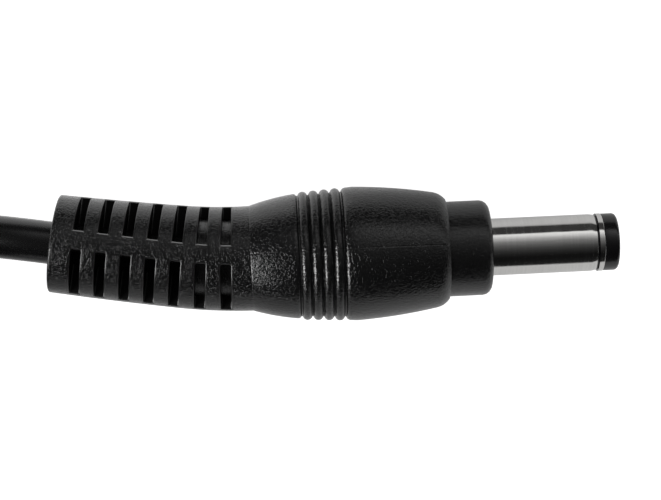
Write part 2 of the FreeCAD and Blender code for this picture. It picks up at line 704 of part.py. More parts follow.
def hank_nodes():
    """The wound route as (point, heading) nodes: runs drawn in at the waist, and the folds between them."""
    middle = hank_middle()
    low = hank_floor()
    per_cycle = 2 * HANK_HALF_TURNS_PER_LAYER
    nodes = [(Vector(hank_start_x(), hank_lane_y(), low), ALONG_X * -1)]
    for run in range(HANK_RUNS):
        heading = ALONG_X * (-1 if run % 2 == 0 else 1)
        side = 1 if run % 2 == 0 else -1
        steps_in = min(run % per_cycle, per_cycle - run % per_cycle)
        lane = hank_half_width() - steps_in * HANK_STEP / 2
        layer = max(run - 1, 0) // HANK_HALF_TURNS_PER_LAYER
        next_layer = run // HANK_HALF_TURNS_PER_LAYER
        height = low + layer * HANK_LAYER_PITCH
        climb = (next_layer - layer) * HANK_LAYER_PITCH
        start = Vector(middle.x - heading.x * HANK_HALF_RUN, middle.y + side * lane, height)
        waist = Vector(middle.x, middle.y + side * (lane - HANK_WAIST), height + climb / 2)
        nodes.append((start, heading))
        nodes.append((waist, (heading + UP * (climb / HANK_HALF_RUN)).normalize()))
        if run == HANK_RUNS - 1:
            risen = waist + heading * TAIL_RISE_LENGTH + UP * TAIL_RISE
            nodes.append((risen, heading))
            nodes.append((risen + heading * (LEAD_DIAMETER + grommet_length() + JACKET_STUB), heading))
        else:
            end = Vector(middle.x + heading.x * HANK_HALF_RUN, start.y, height + climb)
            nodes.append((end, heading))
    return nodes


def grommet_length():
    """The grommet from its mouth to its inner flange."""
    return GROMMET_SLEEVE_LENGTH + 2 * GROMMET_FLANGE_WIDTH + GROMMET_GROOVE_WIDTH


def make_lead():
    """The free stretch of the lead and the rest of it, wound into the hank."""
    points = free_lead_points()
    edges, radii = route_edges(points)
    heading = (points[1] - points[0]).normalize()
    free = swept(edges, heading, LEAD_DIAMETER)
    free_length = sum(edge.Length for edge in edges)
    section = math.pi * LEAD_DIAMETER**2 / 4
    print(f"free lead {free_length:.1f} long, radii {[round(radius, 1) for radius in radii]}")
    print(f"free lead's volume {free.Volume:.1f}, section times length {section * free_length:.1f}")
    nodes = hank_nodes()
    wound_edges, wound_radii = along_nodes(nodes)
    wound = swept(wound_edges, ALONG_X * -1, LEAD_DIAMETER)
    wound_length = sum(edge.Length for edge in wound_edges)
    gap = least_self_gap(wound_edges, LEAD_DIAMETER, 3 * LEAD_DIAMETER)
    print(f"wound lead {wound_length:.1f} long, least radius {min(wound_radii):.2f}")
    print(f"wound lead's volume {wound.Volume:.1f}, section times length {section * wound_length:.1f}")
    print(f"wound lead's least gap to itself {gap:.2f}, over {LEAST_GAP} wanted: {gap > LEAST_GAP}")
    print(f"lead from the boot to its cut end {free_length + wound_length:.1f}")
    return {"free_lead": free, "lead_hank": wound}


def make_tie():
    """The flat tie round the hank's waist, with its lapped end on top."""
    middle = hank_middle()
    widest = hank_half_width() - HANK_WAIST
    other = widest - HANK_STEP / 2
    around = LEAD_DIAMETER / 2 + TIE_CLEARANCE + TIE_THICKNESS
    bottom = FLOOR
    layers = HANK_RUNS // HANK_HALF_TURNS_PER_LAYER
    top = hank_floor() + (layers - 1) * HANK_LAYER_PITCH + around + TIE_SLACK
    low_y = middle.y - other - around - TIE_SLACK
    high_y = middle.y + widest + around + TIE_SLACK

    def block(inset):
        """A bar along X with rounded long edges, smaller all round by the inset."""
        box = Part.makeBox(
            TIE_WIDTH,
            high_y - low_y - 2 * inset,
            top - bottom - 2 * inset,
            Vector(middle.x - TIE_WIDTH / 2, low_y + inset, bottom + inset),
        )
        long_edges = [edge for edge in box.Edges if abs(edge.tangentAt(edge.FirstParameter).x) > 0.99]
        return box.makeFillet(TIE_CORNER - inset, long_edges)

    lap_corner = Vector(middle.x - TIE_WIDTH / 2, high_y - TIE_CORNER - TIE_LAP, top)
    lap = Part.makeBox(TIE_WIDTH, TIE_LAP, TIE_THICKNESS, lap_corner)
    return block(0).cut(block(TIE_THICKNESS)).fuse(lap).removeSplitter()


def make_far_end():
    """The grommet of the adapter's case on the lead's far end, and the stripped, tinned cores."""
    cut_end, heading = hank_nodes()[-1]
    place = Placement(cut_end, Rotation(ALONG_X, heading))
    bore = LEAD_DIAMETER / 2
    flange = GROMMET_FLANGE_DIAMETER / 2
    groove = GROMMET_GROOVE_DIAMETER / 2
    inner_face = -JACKET_STUB
    inner_flange = inner_face - GROMMET_FLANGE_WIDTH
    outer_face = inner_flange - GROMMET_GROOVE_WIDTH
    outer_flange = outer_face - GROMMET_FLANGE_WIDTH
    mouth = outer_flange - GROMMET_SLEEVE_LENGTH
    grommet = turned(
        [
            (mouth, bore),
            (inner_face, bore),
            (inner_face, flange, GROMMET_ROUNDING),
            (inner_flange, flange, GROMMET_ROUNDING),
            (inner_flange, groove),
            (outer_face, groove),
            (outer_face, flange, GROMMET_ROUNDING),
            (outer_flange, flange, GROMMET_ROUNDING),
            (outer_flange, GROMMET_SLEEVE_DIAMETER / 2),
            (mouth, GROMMET_MOUTH_DIAMETER / 2, GROMMET_ROUNDING),
        ]
    )
    core = tube(CORE_END_LENGTH, 0, INSULATION_DIAMETER, CONDUCTOR_DIAMETER)
    tinned_core = rod(CORE_END_LENGTH + CORE_TINNED_LENGTH, 0, CONDUCTOR_DIAMETER)
    beside = (INSULATION_DIAMETER + SHIELD_TAIL_DIAMETER) / 2
    shield_sleeve = rod(SHIELD_SLEEVE_LENGTH, 0, SHIELD_TAIL_DIAMETER, y=beside)
    shield_end = SHIELD_SLEEVE_LENGTH + SHIELD_TINNED_LENGTH
    tinned_shield = rod(shield_end, 0, SHIELD_TINNED_DIAMETER, y=beside)
    shapes = {
        "grommet": grommet,
        "end_core_insulation": core,
        "end_core_tinned": tinned_core,
        "end_shield_sleeve": shield_sleeve.cut(tinned_shield),
        "end_shield_tinned": tinned_shield,
    }
    for shape in shapes.values():
        shape.Placement = place.multiply(shape.Placement)
    return shapes


def main():
    """Builds every sub-part and writes it."""
    os.makedirs("parts", exist_ok=True)
    shapes = make_contacts()
    shapes.update(make_pigtail(shapes["negative_terminal"]))
    shapes.update(make_lead_layers())
    envelope = mould_envelope()
    shapes["inner_mould"] = make_inner_mould(envelope, shapes)
    shapes["strain_relief_boot"] = make_boot(envelope)
    shapes["grip"] = make_grip(envelope, shapes["strain_relief_boot"])
    shapes.update(make_lead())
    shapes["hank_tie"] = make_tie()
    shapes.update(make_far_end())
    for name, shape in shapes.items():
        save(name, shape)


main()
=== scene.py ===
"""Looks of a laptop adapter's moulded DC plug, its slotted strain relief boot and its wound lead.

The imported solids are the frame. The pieces that show are modelled again at a fine resolution on the same
sizes, the layers that cross the boot bend with it, and the lead is one curve from the boot to the grommet.
Meshes are drawn in millimetres and finished in metres.
"""

import json
import logging
import math
from dataclasses import dataclass, field
from enum import Enum

import bmesh
import bpy
from mathutils import Matrix, Vector


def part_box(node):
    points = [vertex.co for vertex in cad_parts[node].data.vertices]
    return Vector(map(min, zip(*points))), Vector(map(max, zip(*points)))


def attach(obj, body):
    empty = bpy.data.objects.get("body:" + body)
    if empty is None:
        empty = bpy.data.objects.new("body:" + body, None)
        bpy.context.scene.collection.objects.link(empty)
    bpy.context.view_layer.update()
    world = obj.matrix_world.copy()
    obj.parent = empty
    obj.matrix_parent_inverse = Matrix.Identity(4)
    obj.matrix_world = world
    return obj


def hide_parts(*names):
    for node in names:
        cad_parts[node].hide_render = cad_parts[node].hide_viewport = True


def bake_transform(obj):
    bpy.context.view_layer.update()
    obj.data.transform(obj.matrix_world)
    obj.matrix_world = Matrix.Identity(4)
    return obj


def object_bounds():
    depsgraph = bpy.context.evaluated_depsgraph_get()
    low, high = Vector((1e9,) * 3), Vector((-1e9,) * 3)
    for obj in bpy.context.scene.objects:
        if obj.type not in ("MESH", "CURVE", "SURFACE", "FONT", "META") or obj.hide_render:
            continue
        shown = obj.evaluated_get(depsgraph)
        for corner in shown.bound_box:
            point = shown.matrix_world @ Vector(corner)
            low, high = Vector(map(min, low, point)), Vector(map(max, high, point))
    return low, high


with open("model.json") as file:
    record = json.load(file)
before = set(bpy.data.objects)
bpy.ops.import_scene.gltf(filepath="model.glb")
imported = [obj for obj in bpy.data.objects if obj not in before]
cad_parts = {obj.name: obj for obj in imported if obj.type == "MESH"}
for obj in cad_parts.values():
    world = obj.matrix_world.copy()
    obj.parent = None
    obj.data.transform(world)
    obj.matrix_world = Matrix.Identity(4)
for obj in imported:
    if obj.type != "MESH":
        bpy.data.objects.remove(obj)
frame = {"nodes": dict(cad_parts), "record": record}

LOG = logging.getLogger("plug")
CAD_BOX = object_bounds()
MM = 0.001
PICTURE_WIDTH = 661
SENSOR_WIDTH = 36.0
FULL_TURN = 2 * math.pi
QUARTER_TURN = math.pi / 2
TURN_STEPS = 160
ARC_STEPS = 8
ROUNDING_STEPS = 4
MERGE_DISTANCE = 1e-5
FLAT_ARC = 1e-9
CREASE_ANGLE = math.radians(32)
SPINE_ROLL = math.radians(-4.5)
PLUG_AXIS = (1.0, 0.0, 0.0)
WHITE = (1.0, 1.0, 1.0)
NOISE_MIDDLE = 0.5
NOISE_RANGE = (0.3, 0.7)

Material = bpy.types.Material
Piece = bpy.types.Object
Socket = bpy.types.NodeSocket
Corner = tuple[float, ...]
Pair = tuple[float, float]
Triple = tuple[float, float, float]


class Body(Enum):
    """The two bodies that the boot joins."""

    PLUG = "plug"
    LEAD = "lead"


class BootFace(Enum):
    """The boot's material slots."""

    MOULDED = 0
    # Painted shade: the slot walls get a darker, duller copy of the black moulding.
    SLOT_WALL = 1
    # Painted highlight: the rounded rims get a paler copy of the moulding.
    SLOT_RIM = 2
    # Painted highlight: the ledges get a pale grey, glossier finish.
    SLOT_LEDGE = 3


class SleeveFace(Enum):
    """The sleeve's material slots."""

    PLATED = 0
    # Painted shade: the groove takes the black tip plastic in place of the nickel.
    PAINTED_SHADE_GROOVE = 1


@dataclass(frozen=True)
class Extent:
    """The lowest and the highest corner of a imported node, in millimetres."""

    low: Vector
    high: Vector

    @classmethod
    def of(cls, node: str) -> "Extent":
        """Reads a node's box from the frame.

        Args:
            node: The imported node's name.

        Returns:
            Its corners in millimetres.
        """
        low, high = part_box(node)
        return cls(Vector(low) / MM, Vector(high) / MM)


class Nodes:
    """A tree of nodes while it is being made."""

    def __init__(self, tree: bpy.types.NodeTree) -> None:
        """Starts with an empty tree."""
        self.tree = tree
        self.tree.nodes.clear()

    @staticmethod
    def set(node: bpy.types.Node, **values: object) -> None:
        """Sets constants on a node's inputs, a socket's spaces written as underscores."""
        for name, value in values.items():
            node.inputs[name.replace("_", " ")].default_value = value

    def add(self, kind: str, **values: object) -> bpy.types.Node:
        """Adds a node.

        Args:
            kind: The node's type.
            **values: Constants for its inputs.

        Returns:
            The node.
        """
        node = self.tree.nodes.new(kind)
        self.set(node, **values)
        return node

    def link(self, source: Socket, target: Socket) -> None:
        """Joins two sockets."""
        self.tree.links.new(source, target)

    def feed(self, target: Socket, value: Socket | Triple | float) -> None:
        """Links an input to a socket, or sets it.

        Args:
            target: The input.
            value: A socket, a colour or a number.
        """
        if isinstance(value, Socket):
            self.link(value, target)
        else:
            target.default_value = (*value, 1.0) if isinstance(value, tuple) else value

    def split(self, vector: Socket) -> tuple[Socket, ...]:
        """The three parts of a vector.

        Args:
            vector: The socket to split.

        Returns:
            The sockets of X, Y and Z.
        """
        node = self.add("ShaderNodeSeparateXYZ")
        self.link(vector, node.inputs[0])
        return tuple(node.outputs)

    def math(self, operation: str, first: Socket | float, second: Socket | float = 0.0) -> Socket:
        """One step of arithmetic.

        Args:
            operation: The Math node's operation.
            first: A socket or a number.
            second: A socket or a number.

        Returns:
            The value socket.
        """
        node = self.add("ShaderNodeMath")
        node.operation = operation
        self.feed(node.inputs[0], first)
        self.feed(node.inputs[1], second)
        return node.outputs[0]

    def spread(self, value: Socket, source: Pair, target: Pair, rounded: bool = False) -> Socket:
        """Maps a range onto another, held at its ends.

        Args:
            value: The socket to map.
            source: The range's lower and upper end.
            target: What the two ends become.
            rounded: Whether the rise is rounded at both ends.

        Returns:
            The mapped socket.
        """
        node = self.add(
            "ShaderNodeMapRange", From_Min=source[0], From_Max=source[1], To_Min=target[0], To_Max=target[1]
        )
        if rounded:
            node.interpolation_type = "SMOOTHSTEP"
        self.link(value, node.inputs["Value"])
        return node.outputs["Result"]

    def mix(self, factor: Socket, first: Socket | Triple, second: Socket | Triple) -> Socket:
        """A colour between two.

        Args:
            factor: 0 for the first colour and 1 for the second.
            first: A colour or its socket.
            second: A colour or its socket.

        Returns:
            The colour socket.
        """
        node = self.add("ShaderNodeMix")
        node.data_type = "RGBA"
        self.link(factor, node.inputs["Factor"])
        self.feed(node.inputs["A"], first)
        self.feed(node.inputs["B"], second)
        return node.outputs["Result"]


class Shader(Nodes):
    """A material while it is being made."""

    def __init__(self, name: str) -> None:
        """Starts a material with a Principled shader alone.

        Args:
            name: The material's name.
        """
        self.material = bpy.data.materials.new(name)
        self.material.use_nodes = True
        super().__init__(self.material.node_tree)
        self.surface = self.add("ShaderNodeBsdfPrincipled")
        self.link(self.surface.outputs[0], self.add("ShaderNodeOutputMaterial").inputs["Surface"])
        self.coordinates = self.add("ShaderNodeTexCoord")

    def millimetres(self, stretch: Triple = (1.0, 1.0, 1.0), turn: Triple = (0.0, 0.0, 0.0)) -> Socket:
        """Object coordinates in millimetres, stretched and turned.

        Args:
            stretch: The factor along each axis.
            turn: The turn about each axis, in radians.

        Returns:
            The vector socket.
        """
        scale = [factor / MM for factor in stretch]
        mapping = self.add("ShaderNodeMapping", Scale=scale, Rotation=turn)
        self.link(self.coordinates.outputs["Object"], mapping.inputs["Vector"])
        return mapping.outputs["Vector"]

    def noise(
        self, place: Socket, scale: float, detail: float = 2.0, rough: float = 0.5, twist: float = 0.0
    ) -> Socket:
        """Noise between 0 and 1.

        Args:
            place: The coordinates.
            scale: Features per unit.
            detail: Number of finer layers.
            rough: How strong the finer layers are.
            twist: How much the noise is distorted.

        Returns:
            The value socket.
        """
        node = self.add("ShaderNodeTexNoise", Scale=scale, Detail=detail, Roughness=rough, Distortion=twist)
        self.link(place, node.inputs["Vector"])
        return node.outputs["Fac"]

    def bump(self, height: Socket, depth: float, below: Socket | None = None) -> Socket:
        """A bump of a height between 0 and 1.

        Args:
            height: The height.
            depth: What a height of 1 stands for, in millimetres.
            below: The bump that it is added to.

        Returns:
            The normal socket.
        """
        node = self.add("ShaderNodeBump", Strength=1.0, Distance=depth * MM)
        self.link(height, node.inputs["Height"])
        if below is not None:
            self.link(below, node.inputs["Normal"])
        return node.outputs["Normal"]

    def uneven(self, noise: Socket, roughness: float, change: Pair) -> Socket:
        """A roughness that follows a noise."""
        return self.spread(noise, NOISE_RANGE, (roughness + change[0], roughness + change[1]))

    def dressed(self, normal: Socket, colour: Socket, roughness: Socket | None = None) -> Material:
        """Links what was made to the Principled shader.

        Args:
            normal: The bumped normal.
            colour: The base colour.
            roughness: The roughness, where it varies.

        Returns:
            The finished material.
        """
        for name, source in (("Normal", normal), ("Base Color", colour), ("Roughness", roughness)):
            if source is not None:
                self.link(source, self.surface.inputs[name])
        return self.material


def shaded(colour: Triple, factor: float) -> Triple:
    """A colour made paler or darker by a factor."""
    return tuple(min(1.0, channel * factor) for channel in colour)


@dataclass(frozen=True)
class SparkGrain:
    """Black soft moulding whose mould was spark eroded: pits and wavy creases that glint one by one."""

    name: str
    colour: Triple = (0.0032, 0.0032, 0.0033)
    roughness: float = 0.175
    roughness_change: Pair = (-0.06, 0.08)
    crease_scale: float = 3.2
    crease_width: float = 0.075
    crease_depth: float = 0.0088
    crease_slant: Triple = (0.0, 0.5, 0.6)
    crease_twist: float = 0.6
    pit_scale: float = 4.4
    pit_depth: float = 0.034
    seam_roll: float | None = None
    seam_width: float = 0.08
    seam_height: float = -0.024
    blotch_scale: float = 0.5
    blotch_shade: float = 1.7

    def make(self) -> Material:
        """Makes the material.

        Returns:
            The material, with its colour, roughness and grain from nodes.
        """
        shader = Shader(self.name)
        slanted = shader.millimetres(turn=self.crease_slant)
        waves = shader.noise(slanted, self.crease_scale, detail=1.0, twist=self.crease_twist)
        aside = shader.math("ABSOLUTE", shader.math("SUBTRACT", waves, NOISE_MIDDLE))
        creases = shader.spread(aside, (0.0, self.crease_width), (1.0, 0.0), rounded=True)
        below = shader.bump(creases, self.crease_depth)
        if self.seam_roll is not None:
            below = shader.bump(self.seam(shader), self.seam_height, below)
        place = shader.millimetres()
        pits = shader.noise(place, self.pit_scale, rough=0.6)
        blotches = shader.noise(place, self.blotch_scale, detail=3.0)
        return shader.dressed(
            shader.bump(pits, self.pit_depth, below),
            shader.mix(blotches, self.colour, shaded(self.colour, self.blotch_shade)),
            shader.uneven(pits, self.roughness, self.roughness_change),
        )

    def seam(self, shader: Shader) -> Socket:
        """Height of the parting line that runs along the top and the underside.

        Args:
            shader: The material being made.

        Returns:
            A height that is 1 on the line and 0 away from it.
        """
        across = shader.split(shader.millimetres(turn=(-self.seam_roll, 0.0, 0.0)))[1]
        return shader.spread(shader.math("ABSOLUTE", across), (0.0, self.seam_width), (1.0, 0.0))


@dataclass(frozen=True)
class SatinPlastic:
    """Smooth or finely grained moulding."""

    name: str
    colour: Triple
    roughness: float = 0.4
    roughness_change: Pair = (-0.05, 0.07)
    grain_scale: float = 9.0
    grain_depth: float = 0.006
    gloss: float = 0.5
    cloud_scale: float = 0.6
    cloud_shade: float = 1.25

    def make(self) -> Material:
        """Makes the material.

        Returns:
            The material.
        """
        shader = Shader(self.name)
        shader.set(shader.surface, Specular_IOR_Level=self.gloss)
        place = shader.millimetres()
        grain = shader.noise(place, self.grain_scale, detail=3.0, rough=0.6)
        clouds = shader.noise(place, self.cloud_scale, detail=3.0)
        return shader.dressed(
            shader.bump(grain, self.grain_depth),
            shader.mix(clouds, self.colour, shaded(self.colour, self.cloud_shade)),
            shader.uneven(grain, self.roughness, self.roughness_change),
        )


@dataclass(frozen=True)
class TurnedMetal:
    """Plated metal with faint marks round its axis and streaks along it."""

    name: str
    colour: Triple
    roughness: float = 0.1
    roughness_change: Pair = (-0.05, 0.06)
    mark_scale: float = 14.0
    mark_depth: float = 0.0012
    mark_stretch: Triple = (1.0, 0.03, 0.03)
    mark_shade: float = 0.78
    streak_scale: float = 2.4
    streak_stretch: Triple = (0.12, 1.0, 1.0)
    streak_ratio: float = 2.0

    def make(self) -> Material:
        """Makes the material.

        Returns:
            The material.
        """
        shader = Shader(self.name)
        shader.set(shader.surface, Metallic=1.0)
        round_axis = shader.millimetres(self.mark_stretch)
        marks = shader.noise(round_axis, self.mark_scale, detail=3.0, rough=0.65)
        along = shader.millimetres(self.streak_stretch)
        streaks = shader.noise(along, self.streak_scale, detail=3.0, rough=0.6)
        below = shader.bump(marks, self.mark_depth)
        return shader.dressed(
            shader.bump(streaks, self.mark_depth * self.streak_ratio, below),
            shader.mix(marks, shaded(self.colour, self.mark_shade), self.colour),
            shader.uneven(marks, self.roughness, self.roughness_change),
        )


@dataclass(frozen=True)
class WovenStrap:
    """Woven hook and loop strap, its weave laid out in the strap's own millimetres."""

    name: str
    colour: Triple = (0.02, 0.02, 0.021)
    thread: float = 0.42
    period_of_scale_one: float = 0.314
    waviness: float = 0.4
    weave_depth: float = 0.12
    weave_shade: float = 2.4
    fuzz_scale: float = 5.0
    fuzz_depth: float = 0.08

    def make(self) -> Material:
        """Makes the material from the strap's UV map.

        Returns:
            The material.
        """
        shader = Shader(self.name)
        shader.set(shader.surface, Roughness=0.85, Sheen_Weight=0.35, Sheen_Roughness=0.4)
        place = shader.coordinates.outputs["UV"]
        scale = self.period_of_scale_one / self.thread
        waves = []
        for direction in ("X", "Y"):
            wave = shader.add("ShaderNodeTexWave", Scale=scale, Distortion=self.waviness)
            wave.bands_direction = direction
            shader.link(place, wave.inputs["Vector"])
            waves.append(wave.outputs["Fac"])
        weave = shader.math("MULTIPLY", *waves)
        fuzz = shader.noise(place, self.fuzz_scale, detail=4.0, rough=0.7)
        return shader.dressed(
            shader.bump(fuzz, self.fuzz_depth, shader.bump(weave, self.weave_depth)),
            shader.mix(weave, self.colour, shaded(self.colour, self.weave_shade)),
        )


@dataclass(frozen=True)
class Rack:
    """Every finish of the part, made once."""

    grip: Material
    boot: Material
    slot_wall_painted_shade: Material
    slot_rim_painted_highlight: Material
    slot_ledge_painted_highlight: Material
    collar: Material
    tip: Material
    jacket: Material
    nickel: Material
    contact: Material
    tinned: Material
    solder: Material
    copper: Material
    insulator: Material
    core: Material
    shrink: Material
    rubber: Material
    strap: Material

    @classmethod
    def stocked(cls) -> "Rack":
        """Makes every finish.

        Returns:
            The rack.
        """
        finishes = {
            "grip": SparkGrain("grip_grain", seam_roll=SPINE_ROLL),
            "boot": SparkGrain("boot_grain", crease_scale=3.8, crease_depth=0.0115, pit_depth=0.045),
            "collar": SparkGrain(
                "collar_grain", crease_scale=4.6, crease_depth=0.006, pit_scale=5.0, pit_depth=0.028
            ),
            # Painted shade: a darker, duller copy of the black moulding, for the slot walls and the jacket
            # seen through the slots.
            "slot_wall_painted_shade": SatinPlastic("slot_wall_painted_shade", (0.0012, 0.0012, 0.0012), roughness=0.6, gloss=0.12),
            # Painted highlight: a paler copy of the moulding on the slots' rounded rims.
            "slot_rim_painted_highlight": SatinPlastic("slot_rim_painted_highlight", (0.009, 0.009, 0.009), roughness=0.28),
            # Painted highlight: the ledges at the top spine are pale grey.
            "slot_ledge_painted_highlight": SatinPlastic("slot_ledge_painted_highlight", (0.17, 0.17, 0.17), roughness=0.3, gloss=0.9),
            "tip": SatinPlastic("tip_satin", (0.003, 0.003, 0.0032), roughness=0.18),
            "jacket": SatinPlastic("lead_satin", (0.0035, 0.0035, 0.0037), roughness=0.24),
            "nickel": TurnedMetal("nickel_plate", (0.72, 0.715, 0.7), mark_scale=6.0, mark_depth=0.0026),
            "contact": TurnedMetal("spring_bronze", (0.62, 0.5, 0.27), roughness=0.24),
            "tinned": TurnedMetal("tinned_metal", (0.55, 0.55, 0.56), roughness=0.3),
            "solder": TurnedMetal("bright_solder", (0.6, 0.6, 0.62), roughness=0.22),
            "copper": TurnedMetal("bare_copper", (0.62, 0.3, 0.17), roughness=0.3),
            "insulator": SatinPlastic("natural_insulator", (0.7, 0.68, 0.62), roughness=0.45),
            "core": SatinPlastic("white_insulation", (0.72, 0.72, 0.7)),
            "shrink": SatinPlastic("red_shrink", (0.35, 0.02, 0.02), roughness=0.42),
            "rubber": SatinPlastic("grommet_rubber", (0.012, 0.012, 0.012), roughness=0.55, grain_depth=0.02),
            "strap": WovenStrap("woven_strap"),
        }
        return cls(**{place: finish.make() for place, finish in finishes.items()})


def arc_between(start: Vector, way: Vector, end: Vector, steps: int) -> list[Vector]:
    """Points on the arc through three points, without its start.

    Args:
        start: Where the arc begins.
        way: A point on the way.
        end: Where it ends.
        steps: Number of points.

    Returns:
        The points after the start.
    """
    first = way - start
    second = end - start
    cross = 2 * (first.x * second.y - first.y * second.x)
    if abs(cross) < FLAT_ARC:
        return [end.copy()]
    across = second.y * first.length_squared - first.y * second.length_squared
    up = first.x * second.length_squared - second.x * first.length_squared
    centre = start + Vector((across / cross, up / cross))
    spoke = start - centre
    sweep = spoke.angle_signed(end - centre)
    if (spoke.angle_signed(way - centre) > 0) != (sweep > 0):
        sweep -= math.copysign(FULL_TURN, sweep)
    turned_spokes = []
    for step in range(1, steps + 1):
        turn = -sweep * step / steps
        turned_spokes.append(centre + Matrix.Rotation(turn, 2) @ spoke)
    return turned_spokes


def half_section(corners: list[Corner]) -> list[Vector]:
    """The points of a turned piece's half section.

    Args:
        corners: Each is (x, radius), (x, radius, rounding) for a rounded corner between straight sides, or
            (x, radius, way_x, way_radius) for the end of an arc through a point on the way.

    Returns:
        The section's points in order, without a closing point.
    """
    points = [Vector(corners[0][:2])]
    for index in range(1, len(corners)):
        corner = corners[index]
        spot = Vector(corner[:2])
        if len(corner) == 4:
            points += arc_between(points[-1], Vector(corner[2:]), spot, ARC_STEPS)
        elif len(corner) == 3:
            after = Vector(corners[(index + 1) % len(corners)][:2])
            inward = (spot - points[-1]).normalized()
            outward = (after - spot).normalized()
            half_turn = inward.angle(outward) / 2
            reach = corner[2] * math.tan(half_turn)
            inset = corner[2] / math.cos(half_turn) - corner[2]
            middle = spot + (outward - inward).normalized() * inset
            points.append(spot - inward * reach)
            points += arc_between(points[-1], middle, spot + outward * reach, ROUNDING_STEPS)
        else:
            points.append(spot)
    return points


def turned(points: list[Vector], steps: int = TURN_STEPS) -> bmesh.types.BMesh:
    """Turns a closed half section about the X axis.

    Args:
        points: The half section as (x, radius).
        steps: Number of steps round the axis.

    Returns:
        A closed bmesh in millimetres.
    """
    shape = bmesh.new()
    verts = [shape.verts.new((point.x, 0.0, point.y)) for point in points]
    edges = [shape.edges.new(pair) for pair in zip(verts, verts[1:] + verts[:1])]
    bmesh.ops.spin(
        shape,
        geom=verts + edges,
        cent=(0.0, 0.0, 0.0),
        axis=PLUG_AXIS,
        angle=FULL_TURN,
        steps=steps,
        use_merge=True,
    )
    bmesh.ops.remove_doubles(shape, verts=shape.verts, dist=MERGE_DISTANCE)
    loose = [edge for edge in shape.edges if not edge.link_faces]
    bmesh.ops.delete(shape, geom=loose, context="EDGES")
    bmesh.ops.recalc_face_normals(shape, faces=shape.faces)
    return shape


def lathed(corners: list[Corner], steps: int = TURN_STEPS) -> bmesh.types.BMesh:
    """Turns a half section that is given by its corners about the X axis."""
    return turned(half_section(corners), steps)


def shown(name: str, data: bpy.types.ID) -> Piece:
    """Puts an object in the scene.

    Args:
        name: Its name.
        data: Its mesh, curve, lamp or camera.

    Returns:
        The object.
    """
    piece = bpy.data.objects.new(name, data)
    bpy.context.scene.collection.objects.link(piece)
    return piece


def finished(name: str, shape: bmesh.types.BMesh, finish: Material) -> Piece:
    """Makes an object of a bmesh that was drawn in millimetres.

    Args:
        name: The object's name.
        shape: The bmesh, which is freed.
        finish: Its material.

    Returns:
        The object, at the origin, in metres.
    """
    bmesh.ops.transform(shape, matrix=Matrix.Scale(MM, 4), verts=shape.verts)
    mesh = bpy.data.meshes.new(name)
    shape.to_mesh(mesh)
    shape.free()
    mesh.materials.append(finish)
    mesh.shade_smooth()
    mesh.set_sharp_from_angle(angle=CREASE_ANGLE)
    LOG.info("%s: %d faces", name, len(mesh.polygons))
    return shown(name, mesh)


@dataclass(frozen=True)
class BootLine:
    """The boot's bent centre line: a close bend behind the grip and a slight sweep, both towards +Y."""

    root: float
    length: float = 19.0
    bend: float = math.radians(7.7)
    bend_stretch: float = 6.5
    sweep: float = math.radians(2.0)

    def along_arc(self, place: Matrix, radius: float, length: float) -> Matrix:
        """The place reached from another by going back along an arc that bends towards +Y.

        Args:
            place: The first place.
            radius: The arc's radius.
            length: How far it is followed.

        Returns:
            The place reached, turned with the arc.
        """
        turn = length / radius
        step = Matrix.Translation((-radius * math.sin(turn), radius * (1 - math.cos(turn)), 0.0))
        return place @ step @ Matrix.Rotation(-turn, 4, "Z")

    def place(self, station: float) -> Vector:
        """A point on the centre line, that far behind the grip."""
        return self.bent(Vector((self.root - station, 0.0, 0.0)))

    def bent(self, point: Vector) -> Vector:
        """Moves a point that was drawn on a straight boot to where it lies on the bent one.

        Args:
            point: The point, in millimetres.

        Returns:
            The moved point.
        """
        station = self.root - point.x
        if station <= 0:
            return point.copy()
        first = min(station, self.bend_stretch)
        place = Matrix.Translation((self.root, 0.0, 0.0))
        place = self.along_arc(place, self.bend_stretch / self.bend, first)
        place = self.along_arc(place, (self.length - self.bend_stretch) / self.sweep, station - first)
        return place @ Vector((0.0, point.y, point.z))

    def bend_shape(self, shape: bmesh.types.BMesh) -> None:
        """Bends a whole bmesh."""
        for vert in shape.verts:
            vert.co = self.bent(vert.co)


def even_line(first: Vector, last: Vector, pitch: float) -> list[Vector]:
    """Points from one to another, no further apart than the pitch, without the first."""
    count = max(1, math.ceil((last - first).length / pitch))
    return [first.lerp(last, step / count) for step in range(1, count + 1)]


